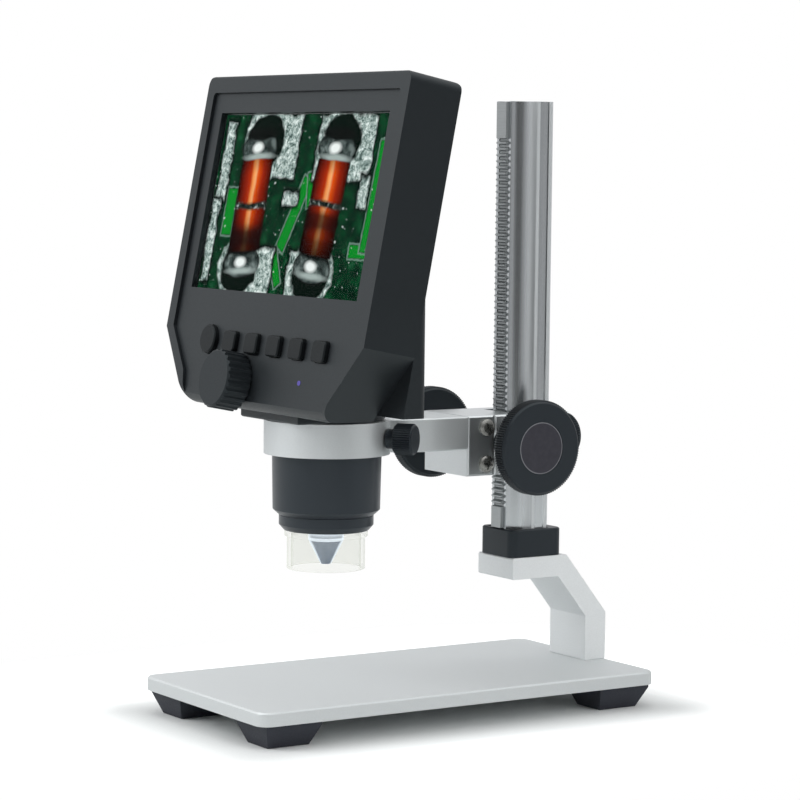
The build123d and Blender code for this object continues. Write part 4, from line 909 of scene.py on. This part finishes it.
def end_cap(below, own, hollow, middle, tall):
    """A silver solder ball in a dark hollow, with a bright spot and a bright lower rim."""
    steel = noise_tones(smooth_edge, 3.0, ((0.3, "#141a19"), (0.5, "#3c4846"), (0.7, "#7c8a87")), 0.5)
    below = over(below, solder, oval_mask(rough_edge, *hollow, 12.4, 9.6, 0.05))
    below = over(below, colour("#03100a"), oval_mask(rough_edge, *hollow, 10.6, 8.2, 0.06))
    below = over(below, colour("#070b0a"), oval_mask(own, 0, middle, 10.6, tall + 0.5, 0.05))
    below = over(below, steel, oval_mask(own, 0, middle, 9.9, tall, 0.06))
    below = over(below, colour("#a9b8b4"), oval_mask(own, 0.4, middle - tall * 0.55, 7.4, tall * 0.22, 0.5))
    below = over(below, colour("#f7fffc"), oval_mask(own, -0.8, middle + 0.4, 3.0, tall * 0.36, 0.35))
    return over(below, colour("#080d0b"), oval_mask(own, 0, middle + tall, 9.4, tall * 0.42, 0.25))


def glass_part(below, u, lean, hollows, gap, dark_from):
    """An amber glass cylinder with a bright streak, held between two balls and broken by a dark band."""
    own = moved(smooth_edge, u, 0, lean)
    below = end_cap(below, own, hollows[0], 16.5, 4.6)
    below = end_cap(below, own, hollows[1], -18.5, 4.4)
    parts = add(tree, "ShaderNodeSeparateXYZ", Vector=own)
    across = ramp(tree, parts.outputs["X"], [(place, colour(code)) for place, code in AMBER])
    along = ramp(tree, parts.outputs["Y"], [(place, colour(code)) for place, code in GLOW_ALONG])
    glass = add(tree, "ShaderNodeMix", {"data_type": "RGBA", "blend_type": "MULTIPLY"}, i0=1.0, i6=across,
                i7=along).outputs[2]
    shade = add(tree, "ShaderNodeMath", {"operation": "MULTIPLY"},
                i0=box_mask(own, 0, dark_from - 3.0, 10, 3.0, 1.4), i1=0.85)
    glass = over(glass, colour("#120202"), shade.outputs[0])
    band = noise_tones(rough_edge, 1.8, ((0.35, "#050807"), (0.55, "#26332e"), (0.66, "#c4cfc9")))
    glass = over(glass, band, box_mask(own, 0, gap, 10, 1.0, 0.5))
    return over(below, glass, box_mask(own, 0, -0.8, 9.1, 14.0, 0.3))


board = glass_part(board, -24.0, 0.03, ((-21.5, 19.0), (-24.5, -20.0)), -1.0, -7.5)
board = glass_part(board, 18.5, -0.07, ((21.5, 19.0), (17.0, -20.5)), 0.2, -2.0)
finish_material(tree, add(tree, "ShaderNodeEmission", Color=board, Strength=1.0))
sheet.data.materials.append(picture)
print("picture nodes", len(tree.nodes))

# %% [markdown]
# ## Finishing
# The finished pieces have to keep to the size of the solids. At the end the scene is brought up to date.

# %% Bring the scene up to date
bpy.context.view_layer.update()
